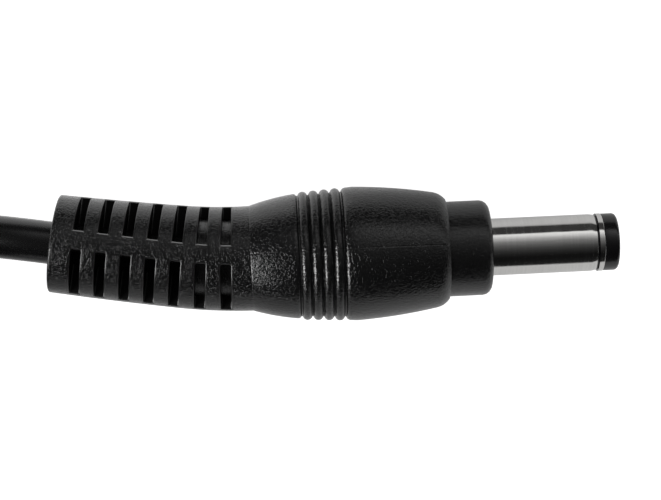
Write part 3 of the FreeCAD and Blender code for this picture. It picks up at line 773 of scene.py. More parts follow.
@dataclass
class Barrel:
    """The plated outer contact with its black tip ring."""

    rack: Rack
    sleeve: Extent = field(default_factory=lambda: Extent.of("barrel_sleeve"))
    ring: Extent = field(default_factory=lambda: Extent.of("tip_ring"))
    diameter: float = 5.5
    bore: float = 4.5
    root_diameter: float = 5.1
    taper_length: float = 0.45
    taper_depth: float = 0.07
    taper_rounding: float = 1.5
    groove_width: float = 0.2
    groove_depth: float = 0.2
    rim_width: float = 0.5
    rim_rise: float = 0.03
    rim_edge: float = 0.07
    mouth: float = 2.9
    mouth_chamfer: float = 0.35
    mouth_wall: float = 1.85
    ring_rounding: float = 0.38
    socket_room: float = 3.5
    edge: float = 0.04

    def build(self) -> None:
        """Makes the sleeve and the tip ring."""
        self.make_sleeve()
        self.make_ring()

    def make_sleeve(self) -> None:
        """The sleeve: a straight wall that tapers into a groove behind the rim, whose walls and floor take
        the black tip plastic as painted shade.
        """
        front = self.sleeve.high.x
        rear = self.sleeve.low.x
        radius = self.diameter / 2
        groove_front = front - self.rim_width
        groove_rear = groove_front - self.groove_width
        floor = radius - self.groove_depth
        shape = lathed(
            [
                (rear, self.bore / 2),
                (front, self.bore / 2),
                (front, radius + self.rim_rise, self.rim_edge),
                (groove_front, radius + self.rim_rise),
                (groove_front - self.groove_width / 4, floor),
                (groove_rear + self.groove_width / 4, floor),
                (groove_rear, radius - self.taper_depth, self.edge),
                (groove_rear - self.taper_length, radius, self.taper_rounding),
                (0.0, radius),
                (0.0, self.root_diameter / 2),
                (rear, self.root_diameter / 2),
            ]
        )
        # Painted shade: the groove's walls and floor get the black tip plastic, not nickel.
        for face in shape.faces:
            centre = face.calc_center_median()
            in_groove = groove_rear < centre.x < groove_front
            if in_groove and floor - self.edge < math.hypot(centre.y, centre.z) < radius - self.taper_depth:
                face.material_index = SleeveFace.PAINTED_SHADE_GROOVE.value
        piece = finished("barrel_sleeve_fine", shape, self.rack.nickel)
        piece.data.materials.append(self.rack.tip)
        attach(piece, Body.PLUG.value)
        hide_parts("barrel_sleeve")

    def make_ring(self) -> None:
        """The tip ring, with the chamfered mouth of the socket."""
        front = self.ring.high.x
        rear = self.ring.low.x
        radius = self.diameter / 2
        mouth = self.mouth / 2
        seat = self.sleeve.high.x
        wall = front - self.mouth_wall
        shape = lathed(
            [
                (rear, self.socket_room / 2),
                (wall, self.socket_room / 2),
                (wall, mouth),
                (front - self.mouth_chamfer, mouth),
                (front, mouth + self.mouth_chamfer, self.edge),
                (front, radius, self.ring_rounding),
                (seat, radius, self.edge),
                (seat, self.bore / 2),
                (rear, self.bore / 2),
            ]
        )
        piece = finished("tip_ring_fine", shape, self.rack.tip)
        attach(piece, Body.PLUG.value)
        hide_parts("tip_ring")


@dataclass
class RootPiece:
    """What the grip and the boot have in common: the bent line and the sizes where they meet."""

    rack: Rack
    line: BootLine
    root_diameter: float = 10.07
    tail_diameter: float = 7.6
    tail_reach: float = 5.8
    lead_diameter: float = 4.1
    seat_room: float = 0.02


@dataclass
class Grip(RootPiece):
    """The grip overmould and the inner mould whose front is the collar.

    Each pair among the grip's sizes is a distance behind the collar's face and a diameter there.
    """

    collar_diameter: float = 9.15
    collar_length: float = 4.15
    collar_rounding: float = 0.88
    collar_relief: float = 0.05
    relief_depth: float = 0.3
    mould_length: float = 19.4
    mould_pitch: float = 0.5
    front_diameter: float = 9.75
    shoulder_way: Pair = (4.55, 10.49)
    shoulder: Pair = (5.35, 11.15)
    way: Pair = (9.25, 12.3)
    crest: Pair = (13.0, 12.87)
    rear: Pair = (14.12, 12.7)
    rear_rounding: float = 0.45
    rib_count: int = 4
    rib_pitch: float = 1.035
    rib_width: float = 0.94
    rib_height: float = 0.36
    rib_first: float = 12.73
    rib_last: float = 12.35
    rib_clearance: float = 0.1
    flare_length: float = 4.58
    flare_diameter: float = 12.12
    flare_way: float = 11.32
    flare_rounding: float = 0.3
    lip_length: float = 0.13
    lip_height: float = 0.052
    lip_way_length: float = 0.065
    lip_way_height: float = 0.029
    lip_end: float = 0.012
    neck_diameter: float = 8.8
    barrel_diameter: float = 5.5

    def build(self) -> None:
        """Makes the grip and the inner mould."""
        self.make_grip()
        self.make_mould()

    def make_grip(self) -> None:
        """The grip: a smooth barrel, rounded ribs and the flare that runs down to the boot."""
        outline: list[Corner] = [
            (-self.collar_length, self.collar_diameter / 2 + self.seat_room),
            (-self.collar_length, self.front_diameter / 2),
            (-self.shoulder[0], self.shoulder[1] / 2, -self.shoulder_way[0], self.shoulder_way[1] / 2),
            (-self.crest[0], self.crest[1] / 2, -self.way[0], self.way[1] / 2),
            (-self.rear[0], self.rear[1] / 2, self.rear_rounding),
        ]
        first_crest = -self.rear[0] - self.rib_clearance - self.rib_width / 2
        valley = 0.0
        for rib in range(self.rib_count):
            share = rib / (self.rib_count - 1)
            crest = (self.rib_first + (self.rib_last - self.rib_first) * share) / 2
            place = first_crest - rib * self.rib_pitch
            valley = crest - self.rib_height
            if rib == 0:
                outline.append((-self.rear[0], valley))
            outline.append((place + self.rib_width / 2, valley))
            outline.append((place - self.rib_width / 2, valley, place, crest))
        root = self.line.root
        radius = self.root_diameter / 2
        flare_front = root + self.flare_length
        flare_way = (root + self.flare_length / 2, self.flare_way / 2)
        lip_way = (root + self.lip_way_length, radius + self.lip_way_height)
        neck = self.neck_diameter / 2 + self.seat_room
        outline += [
            (flare_front, valley),
            (flare_front, self.flare_diameter / 2, self.flare_rounding),
            (root + self.lip_length, radius + self.lip_height, *flare_way),
            (root, radius - self.lip_end, *lip_way),
            (root, neck),
            (-self.mould_length, neck),
            (-self.mould_length, self.collar_diameter / 2 + self.seat_room),
        ]
        piece = finished("grip_fine", lathed(outline), self.rack.grip)
        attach(piece, Body.PLUG.value)
        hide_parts("grip")

    def make_mould(self) -> None:
        """The inner mould, from the collar in front to the tail that shows in the boot's first slots."""
        tail_end = self.line.root - self.tail_reach
        tail_radius = self.tail_diameter / 2
        bore = self.lead_diameter / 2 + self.seat_room
        relief = self.barrel_diameter / 2 + self.collar_relief
        front = half_section(
            [
                (-self.relief_depth, relief),
                (0.0, relief),
                (0.0, self.collar_diameter / 2, self.collar_rounding),
                (-self.mould_length, self.collar_diameter / 2),
                (-self.mould_length, tail_radius),
            ]
        )
        tail = even_line(front[-1], Vector((tail_end, tail_radius)), self.mould_pitch)
        mouth = Vector((tail_end, bore))
        inner = even_line(mouth, Vector((-self.mould_length, bore)), self.mould_pitch)
        seat = Vector((-self.mould_length, self.barrel_diameter / 2 + self.seat_room))
        shape = turned([*front, *tail, mouth, *inner, seat])
        self.line.bend_shape(shape)
        piece = finished("inner_mould_fine", shape, self.rack.collar)
        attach(piece, Body.PLUG.value)
        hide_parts("inner_mould")


@dataclass
class Boot(RootPiece):
    """The slotted strain relief boot, with the layers of the lead that bend inside it."""

    end_diameter: float = 9.4
    end_rounding: float = 0.22
    end_inset: float = 0.1
    tucked: float = 1.5
    slot_rows: int = 7
    slot_first: float = 2.33
    slot_pitch: float = 2.333
    slot_width: float = 0.96
    slot_edge: float = 0.11
    slot_edge_steps: int = 3
    rim_angle: float = math.radians(60)
    rim_clearance: float = 0.3
    ledge_facing: float = 0.35
    spine_width: float = 1.8
    spine_roll: float = SPINE_ROLL
    spine_twist: float = math.radians(-3.2)
    quarter_steps: int = 32
    spine_steps: int = 3
    slot_steps: int = 4
    pitch: float = 0.6
    layer_steps: int = 64
    stiff_reach: float = 5.0

    def build(self) -> None:
        """Makes the boot and the layers in it."""
        self.make_boot()
        self.make_layers()

    def outer_radius(self, station: float) -> float:
        """The boot's radius at a station."""
        share = station / self.line.length
        return (self.root_diameter + (self.end_diameter - self.root_diameter) * share) / 2

    def slot_edges(self) -> list[float]:
        """The stations at which every row of slots begins and ends.

        Returns:
            The stations in order.
        """
        edges = []
        for row in range(self.slot_rows):
            middle = self.slot_first + row * self.slot_pitch
            edges += [middle - self.slot_width / 2, middle + self.slot_width / 2]
        return edges

    def stations(self, start: float, end: float, fixed: list[float]) -> list[float]:
        """Stations from start to end that include the fixed ones, a slot's width divided into equal steps.

        Args:
            start: The first station.
            end: The last one.
            fixed: Stations that have to be among them.

        Returns:
            The stations in order.
        """
        stops = sorted({start, end, *(stop for stop in fixed if start < stop < end)})
        result = [start]
        for first, last in zip(stops, stops[1:]):
            count = max(1, round((last - first) / self.slot_width * self.slot_steps))
            result += [first + (last - first) * step / count for step in range(1, count + 1)]
        return result

    def spine_half_angle(self, radius: float) -> float:
        """The angle from a spine's middle to its side, at a radius."""
        return math.asin(self.spine_width / 2 / radius)

    def row(self, station: float) -> float:
        """The row of slots at a station, a whole number in the middle of a slot."""
        return (station - self.slot_first) / self.slot_pitch

    def from_row(self, station: float) -> float:
        """How far a station lies from the middle of the nearest row."""
        return abs(self.row(station) - round(self.row(station))) * self.slot_pitch

    def turn(self, place: Vector) -> float:
        """The angle of a place on the straight boot, counted from the spines there."""
        station = self.line.root - place.x
        return math.atan2(place.y, place.z) + self.roll(station)

    def roll(self, station: float) -> float:
        """How far the spines are rolled about the boot's axis at a station."""
        share = (station - self.slot_first) / (self.slot_pitch * (self.slot_rows - 1))
        return self.spine_roll + self.spine_twist * min(max(share, 0.0), 1.0)

    def respace(self, shape: bmesh.types.BMesh) -> None:
        """Moves the steps round the axis so that each spine has parallel sides.

        Args:
            shape: The turned boot, its steps still equal.
        """
        half_quarter = QUARTER_TURN / 2
        edge = QUARTER_TURN * self.spine_steps / self.quarter_steps
        for vert in shape.verts:
            radius = math.hypot(vert.co.y, vert.co.z)
            angle = math.atan2(vert.co.y, vert.co.z)
            nearest = round(angle / QUARTER_TURN) * QUARTER_TURN
            away = abs(angle - nearest)
            side = math.copysign(1.0, angle - nearest)
            half = self.spine_half_angle(radius)
            if away <= edge:
                away = away * half / edge
            else:
                away = half + (away - edge) * (half_quarter - half) / (half_quarter - edge)
            turn = nearest + side * away - self.roll(self.line.root - vert.co.x)
            vert.co.y = radius * math.sin(turn)
            vert.co.z = radius * math.cos(turn)

    def half_outline(self) -> list[Vector]:
        """The straight boot's half section.

        Returns:
            The points of the outer wall, the rounded end, the bore and the room for the mould's tail.
        """
        root = self.line.root
        bore = self.lead_diameter / 2 + self.seat_room
        wide_bore = self.tail_diameter / 2 + self.seat_room
        edges = self.slot_edges()
        end = self.line.length - self.end_inset
        last_straight = end - self.end_rounding
        outer = []
        for station in self.stations(-self.tucked, last_straight, [0.0, *edges]):
            widest = self.root_diameter / 2 - (self.seat_room if station < 0 else 0.0)
            outer.append(Vector((root - station, min(self.outer_radius(station), widest))))
        centre = Vector((root - last_straight, outer[-1].y - self.end_rounding))
        way = centre + Vector((-math.sqrt(0.5), math.sqrt(0.5))) * self.end_rounding
        rim_end = Vector((root - end, self.outer_radius(end) - self.end_rounding))
        rim = arc_between(outer[-1], way, rim_end, ROUNDING_STEPS)
        face = even_line(rim[-1], Vector((root - end, bore)), self.pitch)
        narrow = [
            Vector((root - station, bore))
            for station in reversed(self.stations(self.tail_reach, end, edges))
        ]
        wide = [
            Vector((root - station, wide_bore))
            for station in reversed(self.stations(-self.tucked, self.tail_reach, [0.0, *edges]))
        ]
        return outer + rim + face + narrow[1:] + wide

    def in_slot(self, centre: Vector) -> bool:
        """Whether the middle of a face lies in a slot's opening.

        Args:
            centre: The face's middle on the straight boot.

        Returns:
            True inside the slot's width and clear of the spines.
        """
        station = self.line.root - centre.x
        if round(self.row(station)) not in range(self.slot_rows):
            return False
        if self.from_row(station) > self.slot_width / 2:
            return False
        angle = self.turn(centre)
        away = abs(angle - round(angle / QUARTER_TURN) * QUARTER_TURN)
        return away > self.spine_half_angle(math.hypot(centre.y, centre.z))

    def open_slots(self, shape: bmesh.types.BMesh) -> None:
        """Opens every slot and walls it from the outer surface down to the bore, the walls in a painted
        shade.

        Args:
            shape: The straight boot, a closed tube.
        """
        openings = [face for face in shape.faces if self.in_slot(face.calc_center_median())]
        bmesh.ops.delete(shape, geom=openings, context="FACES")
        loops: dict[tuple[int, int], list[bmesh.types.BMEdge]] = {}
        for edge in shape.edges:
            if len(edge.link_faces) == 1:
                middle = (edge.verts[0].co + edge.verts[1].co) / 2
                row = round(self.row(self.line.root - middle.x))
                quarter = math.floor(self.turn(middle) / QUARTER_TURN)
                loops.setdefault((row, quarter), []).append(edge)
        for pair in loops.values():
            for wall in bmesh.ops.bridge_loops(shape, edges=pair)["faces"]:
                # Painted shade on the slot walls.
                wall.material_index = BootFace.SLOT_WALL.value
        bmesh.ops.recalc_face_normals(shape, faces=shape.faces)

    def round_rims(self, shape: bmesh.types.BMesh) -> None:
        """Rounds the slots' rims, which get a painted highlight, and sets the ledges, painted pale grey as a
        stronger highlight, apart from the others.

        Args:
            shape: The straight boot with its slots.
        """
        bevel = bmesh.ops.bevel(
            shape,
            geom=[edge for edge in shape.edges if self.is_rim(edge)],
            offset=self.slot_edge,
            segments=self.slot_edge_steps,
            profile=0.5,
            affect="EDGES",
            material=-1,
        )
        # Painted highlight: each rim strip gets a paler finish, the ledges a pale grey one.
        for strip in bevel["faces"]:
            kind = BootFace.SLOT_LEDGE if self.on_ledge(strip) else BootFace.SLOT_RIM
            strip.material_index = kind.value

    def is_rim(self, edge: bmesh.types.BMEdge) -> bool:
        """Whether an edge is a slot's outer rim or a corner between its walls.

        Args:
            edge: An edge of the straight boot.

        Returns:
            True for a sharp edge that reaches out from the bore, before the boot's rounded end.
        """
        if len(edge.link_faces) != 2 or edge.calc_face_angle(0.0) <= self.rim_angle:
            return False
        outermost = max(math.hypot(vert.co.y, vert.co.z) for vert in edge.verts)
        last = max(self.line.root - vert.co.x for vert in edge.verts)
        reaches_out = outermost > self.tail_diameter / 2 + self.rim_clearance
        return reaches_out and last < self.line.length - self.end_rounding

    def on_ledge(self, strip: bmesh.types.BMFace) -> bool:
        """Whether a strip of a rim is the ledge at the top spine, where a slot of the +Y side ends, which
        gets a pale painted highlight.

        Args:
            strip: A face of a rounded rim.

        Returns:
            True for the strips across the slot's end that face +Y.
        """
        strip.normal_update()
        middle = strip.calc_center_median()
        within = self.from_row(self.line.root - middle.x) < self.slot_width / 2 - self.seat_room
        return within and strip.normal.y > self.ledge_facing and middle.z > 0

    def make_boot(self) -> None:
        """The boot: a tapered tube on which slots are opened down to the bore, then bent."""
        shape = turned(self.half_outline(), steps=4 * self.quarter_steps)
        self.respace(shape)
        self.open_slots(shape)
        self.round_rims(shape)
        self.line.bend_shape(shape)
        piece = finished("boot_fine", shape, self.rack.boot)
        # Painted shade on the slot walls, painted highlight on the rims and the ledges.
        for finish in (self.rack.slot_wall_painted_shade, self.rack.slot_rim_painted_highlight, self.rack.slot_ledge_painted_highlight):
            piece.data.materials.append(finish)
        self.flex(piece)
        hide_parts("strain_relief_boot")

    def flex(self, piece: Piece) -> None:
        """Bakes a piece's place into its mesh.

        Args:
            piece: A piece that crosses the boot.
        """
        start = self.line.place(self.stiff_reach) * MM
        end = self.line.place(self.line.length) * MM
        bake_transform(piece)

    def layer(self, name: str, node: str, slot: str, finish: Material, diameter: float, bore: float) -> None:
        """One layer of the lead inside the plug, bent with the boot.

        Args:
            name: The piece's name.
            node: The node that it stands for.
            slot: The record's material slot; not used.
            finish: Its material.
            diameter: Its outer diameter.
            bore: Its bore, or 0 for a solid bar.
        """
        front = Extent.of(node).high.x
        end = self.line.root - self.line.length
        start = Vector((front, diameter / 2))
        outer = [start, *even_line(start, Vector((end, diameter / 2)), self.pitch)]
        back, mouth = Vector((end, bore / 2)), Vector((front, bore / 2))
        inner = [back, *even_line(back, mouth, self.pitch)] if bore else [back, mouth]
        shape = turned(outer + inner, steps=self.layer_steps)
        self.line.bend_shape(shape)
        piece = finished(name, shape, finish)
        self.flex(piece)
        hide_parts(node)

    def make_layers(self) -> None:
        """The jacket, the shield, the insulation and the conductor."""
        # Painted shade: the jacket in the boot takes the slot walls' darker, duller finish.
        dark, copper, core = self.rack.slot_wall_painted_shade, self.rack.copper, self.rack.core
        self.layer("jacket_in_boot", "lead_jacket", "jacket_pvc", dark, diameter=4.1, bore=3.05)
        self.layer("shield_in_boot", "spiral_shield", "copper", copper, diameter=3.04, bore=2.46)
        self.layer("insulation_in_boot", "core_insulation", "core_plastic", core, diameter=2.45, bore=1.31)
        self.layer("conductor_in_boot", "centre_conductor", "copper", copper, diameter=1.3, bore=0.0)


@dataclass
class Lead:
    """The lead from the boot, down to the surface, through the hank and up into the grommet.

    The route is in metres. The run's stops are shares of its half, and each of the tail's stops is a distance
    along the last run and a rise.
    """

    rack: Rack
    line: BootLine
    floor: float
    diameter: float = 4.1
    length: float = 1158.4
    tucked: float = 2.0
    route: tuple[Triple, ...] = (
        (-0.0453, 0.002928, 0.0),
        (-0.04881, 0.003455, -0.0005),
        (-0.05321, 0.00403, -0.00173),
        (-0.05763, 0.004428, -0.00296),
        (-0.06119, 0.004575, -0.00353),
    )
    fold_radius: float = 12.5
    step: float = 5.5
    layer_pitch: float = 4.6
    half_run: float = 23.5
    waist: float = 7.0
    half_turns_per_layer: int = 3
    runs: int = 12
    front: float = -50.0
    lane_offset: float = 2.25
    tie_room: float = 0.85
    lead_in: float = 5.6
    run_stops: tuple[float, ...] = (-0.8, -0.42, 0.0, 0.42, 0.8)
    fold_corners: int = 4
    tail_stops: tuple[Pair, ...] = ((5.0, 0.4), (12.5, 5.5), (18.0, 6.0))
    tail_end: float = 19.1
    curve_order: int = 3
    curve_steps: int = 10
    round_steps: int = 7

    def low(self) -> float:
        """Height of the lowest layer's axis."""
        return self.floor + self.tie_room + self.diameter / 2

    def half_width(self) -> float:
        """From the hank's middle to its outermost lane."""
        return self.fold_radius + (2 * self.half_turns_per_layer - 1) * self.step / 4

    def lane_y(self) -> float:
        """Where the lead's line meets the hank's outer lane."""
        return self.line.place(self.line.length).y + self.lane_offset

    def middle(self) -> Vector:
        """The hank's middle in plan."""
        reach = self.half_run + self.half_width() - self.step / 4 + self.diameter / 2
        return Vector((self.front - reach, self.lane_y() - self.half_width(), 0.0))

    def lane(self, run: int) -> float:
        """How far a run lies from the hank's middle, before the waist draws it in."""
        cycle = 2 * self.half_turns_per_layer
        return self.half_width() - min(run % cycle, cycle - run % cycle) * self.step / 2

    def heights(self, run: int) -> Pair:
        """The heights at which a run begins and ends.

        Args:
            run: Its number from the plug's end.

        Returns:
            Both heights, in millimetres.
        """
        layer = max(run - 1, 0) // self.half_turns_per_layer
        next_layer = run // self.half_turns_per_layer
        return self.low() + layer * self.layer_pitch, self.low() + next_layer * self.layer_pitch

    def run_points(self, run: int) -> list[Vector]:
        """One run of the hank, drawn in at the waist, and the fold that follows it.

        Args:
            run: Its number from the plug's end.

        Returns:
            The spline's points, in millimetres.
        """
        middle = self.middle()
        forward = -1 if run % 2 == 0 else 1
        side = -forward
        lane = self.lane(run)
        begin, end = self.heights(run)
        last = run == self.runs - 1
        points = []
        for stop in self.run_stops:
            if last and stop > 0:
                break
            drawn_in = self.waist * (1 + math.cos(math.pi * stop)) / 2
            height = begin + (end - begin) * (1 + stop) / 2
            along = middle.x + forward * stop * self.half_run
            points.append(Vector((along, middle.y + side * (lane - drawn_in), height)))
        if last:
            waist = points[-1]
            points += [waist + Vector((forward * along, 0.0, rise)) for along, rise in self.tail_stops]
            points.append(points[-1] + Vector((forward * self.tail_end, 0.0, 0.0)))
            return points
        radius = (lane + self.lane(run + 1)) / 2
        centre_y = middle.y + side * (lane - self.lane(run + 1)) / 2
        half_step = math.pi / self.fold_corners / 2
        for corner in range(self.fold_corners):
            angle = half_step * (2 * corner + 1)
            reach = radius / math.cos(half_step)
            along = middle.x + forward * (self.half_run + reach * math.sin(angle))
            points.append(Vector((along, centre_y + side * reach * math.cos(angle), end)))
        return points

    def points(self) -> list[Vector]:
        """Every control point of the lead's spline.

        Returns:
            The points in order, in metres.
        """
        start = self.line.place(self.line.length - self.tucked) * MM
        exit_point = self.line.place(self.line.length) * MM
        hank_start = Vector((self.middle().x + self.half_run + self.lead_in, self.lane_y(), self.low())) * MM
        points = [start, exit_point] + [Vector(point) for point in self.route] + [hank_start]
        for run in range(self.runs):
            points += [point * MM for point in self.run_points(run)]
        return points

    def cut_end(self) -> Vector:
        """Where the jacket is cut, in millimetres."""
        return self.points()[-1] / MM

    def build(self, with_pieces: list[Piece]) -> None:
        """Makes the lead as one curve.

        Args:
            with_pieces: The pieces that are on the lead; not used.
        """
        points = self.points()
        curve = bpy.data.curves.new("lead_line", "CURVE")
        curve.dimensions = "3D"
        spline = curve.splines.new("NURBS")
        spline.points.add(len(points) - 1)
        for place, point in zip(spline.points, points):
            place.co = (*point, 1.0)
        spline.order_u = self.curve_order
        spline.use_endpoint_u = True
        curve.resolution_u = self.curve_steps
        curve.bevel_depth = self.diameter / 2 * MM
        curve.bevel_resolution = self.round_steps
        curve.use_fill_caps = True
        curve.materials.append(self.rack.jacket)
        piece = shown("lead_line", curve)
        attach(piece, Body.LEAD.value)
        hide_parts("free_lead", "lead_hank")
        tuple(self.line.place(self.line.length) * MM)


@dataclass
class Tie:
    """The woven strap round the hank's waist, its end lapped on top."""

    rack: Rack
    box: Extent = field(default_factory=lambda: Extent.of("hank_tie"))
    thickness: float = 0.6
    corner: float = 2.6
    lap: float = 12.0
    climb: float = 1.6
    edge: float = 0.14
    pitch: float = 0.5
    corner_steps: int = 10
    climb_steps: int = 8
    edge_steps: int = 3

    def round_corner(self, centre: Vector, first_angle: float) -> list[Vector]:
        """A quarter turn of the strap's middle line, its angle growing.

        Args:
            centre: The turn's middle, as (y, z).
            first_angle: The angle at which it begins.

        Returns:
            The points, both ends included.
        """
        radius = self.corner - self.thickness / 2
        spots = []
        for step in range(self.corner_steps + 1):
            angle = first_angle + QUARTER_TURN * step / self.corner_steps
            spots.append(centre + radius * Vector((math.cos(angle), math.sin(angle))))
        return spots

    def middle_line(self) -> list[Vector]:
        """The strap's middle line as (y, z): round the waist once and up onto its own start.

        Returns:
            The points, from the inner end to the lapped end.
        """
        low, high = self.box.low, self.box.high
        half = self.thickness / 2
        ring_top = high.z - self.thickness - half
        near, far = low.y + self.corner, high.y - self.corner
        down, up = low.z + self.corner, high.z - self.thickness - self.corner
        line = [Vector((far - self.climb, ring_top))]
        for quarter, centre in ((1, (near, up)), (2, (near, down)), (3, (far, down)), (0, (far, up))):
            bend = self.round_corner(Vector(centre), quarter * QUARTER_TURN)
            line += even_line(line[-1], bend[0], self.pitch) + bend[1:]
        for step in range(1, self.climb_steps + 1):
            share = step / self.climb_steps
            rise = self.thickness * share * share * (3 - 2 * share)
            line.append(Vector((far - self.climb * share, ring_top + rise)))
        return line + even_line(line[-1], Vector((far - self.lap, high.z - half)), self.pitch)

    def section(self) -> list[Vector]:
        """The strap's section, its edges rounded.

        Returns:
            The points as (x, outwards).
        """
        half_width = (self.box.high.x - self.box.low.x) / 2
        half = self.thickness / 2
        corners = ((1, 1), (-1, 1), (-1, -1), (1, -1))
        spots = []
        for index, (side, face) in enumerate(corners):
            centre = Vector((side * (half_width - self.edge), face * (half - self.edge)))
            for step in range(self.edge_steps + 1):
                angle = QUARTER_TURN * (index + step / self.edge_steps)
                spots.append(centre + self.edge * Vector((math.cos(angle), math.sin(angle))))
        return spots

    def build(self) -> Piece:
        """Makes the strap.

        Returns:
            The piece, with its length and width as the UV map.
        """
        line = self.middle_line()
        section = self.section()
        middle_x = (self.box.low.x + self.box.high.x) / 2
        shape = bmesh.new()
        layout = shape.loops.layers.uv.new("strap")
        rings, marks, run = [], [], 0.0
        for index, spot in enumerate(line):
            before, after = line[max(index - 1, 0)], line[min(index + 1, len(line) - 1)]
            along = (after - before).normalized()
            outwards = Vector((along.y, -along.x))
            run += (spot - before).length
            ring = []
            for place in section:
                moved = spot + outwards * place.y
                ring.append(shape.verts.new((middle_x + place.x, moved.x, moved.y)))
            rings.append(ring)
            marks.append(run)
        count = len(section)
        for index in range(len(rings) - 1):
            for corner in range(count):
                following = (corner + 1) % count
                places = ((index, corner), (index, following), (index + 1, following), (index + 1, corner))
                face = shape.faces.new([rings[station][spot] for station, spot in places])
                for loop, (station, spot) in zip(face.loops, places):
                    loop[layout].uv = (marks[station], section[spot].x + section[spot].y)
        for ring in (rings[0], rings[-1]):
            shape.faces.new(ring)
        bmesh.ops.recalc_face_normals(shape, faces=shape.faces)
        piece = finished("strap_fine", shape, self.rack.strap)
        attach(piece, Body.LEAD.value)
        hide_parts("hank_tie")
        return piece


@dataclass
class FarEnd:
    """The small grommet on the lead's far end and the stripped, tinned cores.

    Each pair of sizes is a diameter and a length, and each twist is a number of strands and the length of one
    turn.
    """

    rack: Rack
    cut: Vector
    lead_diameter: float = 4.1
    flange: Pair = (7.4, 1.3)
    groove: Pair = (5.9, 1.6)
    sleeve_length: float = 9.8
    sleeve_diameter: float = 6.2
    mouth_diameter: float = 5.2
    rounding: float = 0.25
    stub: float = 1.0
    insulation: Pair = (2.45, 4.0)
    conductor: Pair = (1.3, 7.0)
    conductor_twist: tuple[int, float] = (12, 9.0)
    tail_sleeve: Pair = (1.2, 4.4)
    tail_core: Pair = (0.8, 7.0)
    tail_twist: tuple[int, float] = (8, 5.0)
    edge: float = 0.08
    tube_steps: int = 48
    strand_step: float = 0.12
    strand_sides: int = 12
    strand_swell: float = 1.04

    def placed(
        self, name: str, node: str, shape: bmesh.types.BMesh, finish: Material, aside: float
    ) -> Piece:
        """Finishes a piece that was drawn with the cut end at the origin.

        Args:
            name: The piece's name.
            node: The node that it stands for.
            shape: Its bmesh.
            finish: Its material.
            aside: How far it is moved along Y.

        Returns:
            The piece.
        """
        bmesh.ops.translate(shape, verts=shape.verts, vec=self.cut + Vector((0.0, aside, 0.0)))
        piece = finished(name, shape, finish)
        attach(piece, Body.LEAD.value)
        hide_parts(node)
        return piece

    def grommet(self) -> bmesh.types.BMesh:
        """The grommet: two flanges, the groove for the case wall and a tapered sleeve.

        Returns:
            Its bmesh, the cut end at the origin.
        """
        bore = self.lead_diameter / 2
        flange, groove = self.flange[0] / 2, self.groove[0] / 2
        inner_face = -self.stub
        inner_flange = inner_face - self.flange[1]
        outer_face = inner_flange - self.groove[1]
        outer_flange = outer_face - self.flange[1]
        mouth = outer_flange - self.sleeve_length
        return lathed(
            [
                (mouth, bore),
                (inner_face, bore),
                (inner_face, flange, self.rounding),
                (inner_flange, flange, self.rounding),
                (inner_flange, groove, self.edge),
                (outer_face, groove, self.edge),
                (outer_face, flange, self.rounding),
                (outer_flange, flange, self.rounding),
                (outer_flange, self.sleeve_diameter / 2, self.rounding),
                (mouth, self.mouth_diameter / 2, self.rounding),
            ]
        )

    def tube(self, length: float, diameter: float, bore: float) -> bmesh.types.BMesh:
        """A short tube from the cut end, its mouth slightly rounded.

        Args:
            length: Its length.
            diameter: Its outer diameter.
            bore: Its bore.

        Returns:
            Its bmesh, the cut end at the origin.
        """
        inner, outer = bore / 2, diameter / 2
        corners = [(0.0, inner), (length, inner, self.edge / 2), (length, outer, self.edge), (0.0, outer)]
        return lathed(corners, self.tube_steps)

    def strands(self, length: float, diameter: float, count: int, pitch: float) -> bmesh.types.BMesh:
        """A twisted, tinned bundle from the cut end.

        Args:
            length: Its length.
            diameter: Its diameter over the strands.
            count: Strands round the outside.
            pitch: The length of one full twist.

        Returns:
            The bmesh, a core with the strands wound on it.
        """
        share = math.sin(math.pi / count)
        strand = diameter / 2 * share / (1 + share)
        reach = diameter / 2 - strand
        steps = math.ceil(length / self.strand_step)
        shape = bmesh.new()
        for index in range(count + 1):
            radius, offset = (strand, reach) if index else (reach, 0.0)
            turn = Matrix.Rotation(FULL_TURN * index / count, 4, "X")
            place = turn @ Matrix.Translation((0.0, offset, 0.0)) @ Matrix.Rotation(QUARTER_TURN, 4, "Y")
            circle = bmesh.ops.create_circle(
                shape, segments=self.strand_sides, radius=radius * self.strand_swell, matrix=place
            )
            ring = circle["verts"]
            edges = list({edge for vert in ring for edge in vert.link_edges})
            bmesh.ops.spin(
                shape,
                geom=ring + edges,
                cent=(0.0, 0.0, 0.0),
                axis=PLUG_AXIS,
                dvec=(length / steps, 0.0, 0.0),
                angle=FULL_TURN * length / pitch,
                steps=steps,
            )
        bmesh.ops.holes_fill(shape, edges=[edge for edge in shape.edges if len(edge.link_faces) == 1])
        bmesh.ops.recalc_face_normals(shape, faces=shape.faces)
        return shape

    def build(self) -> list[Piece]:
        """Makes the grommet and the stripped end.

        Returns:
            The pieces, which are all on the lead.
        """
        rack = self.rack
        beside = (self.insulation[0] + self.tail_sleeve[0]) / 2
        core_tube = self.tube(self.insulation[1], self.insulation[0], self.conductor[0])
        tail_tube = self.tube(self.tail_sleeve[1], self.tail_sleeve[0], self.tail_core[0])
        core = self.strands(self.conductor[1], self.conductor[0], *self.conductor_twist)
        tail = self.strands(self.tail_core[1], self.tail_core[0], *self.tail_twist)
        return [
            self.placed("grommet_fine", "grommet", self.grommet(), rack.rubber, 0.0),
            self.placed("core_tube_fine", "end_core_insulation", core_tube, rack.core, 0.0),
            self.placed("core_strands", "end_core_tinned", core, rack.tinned, 0.0),
            self.placed("tail_tube_fine", "end_shield_sleeve", tail_tube, rack.jacket, beside),
            self.placed("tail_strands", "end_shield_tinned", tail, rack.tinned, beside),
        ]


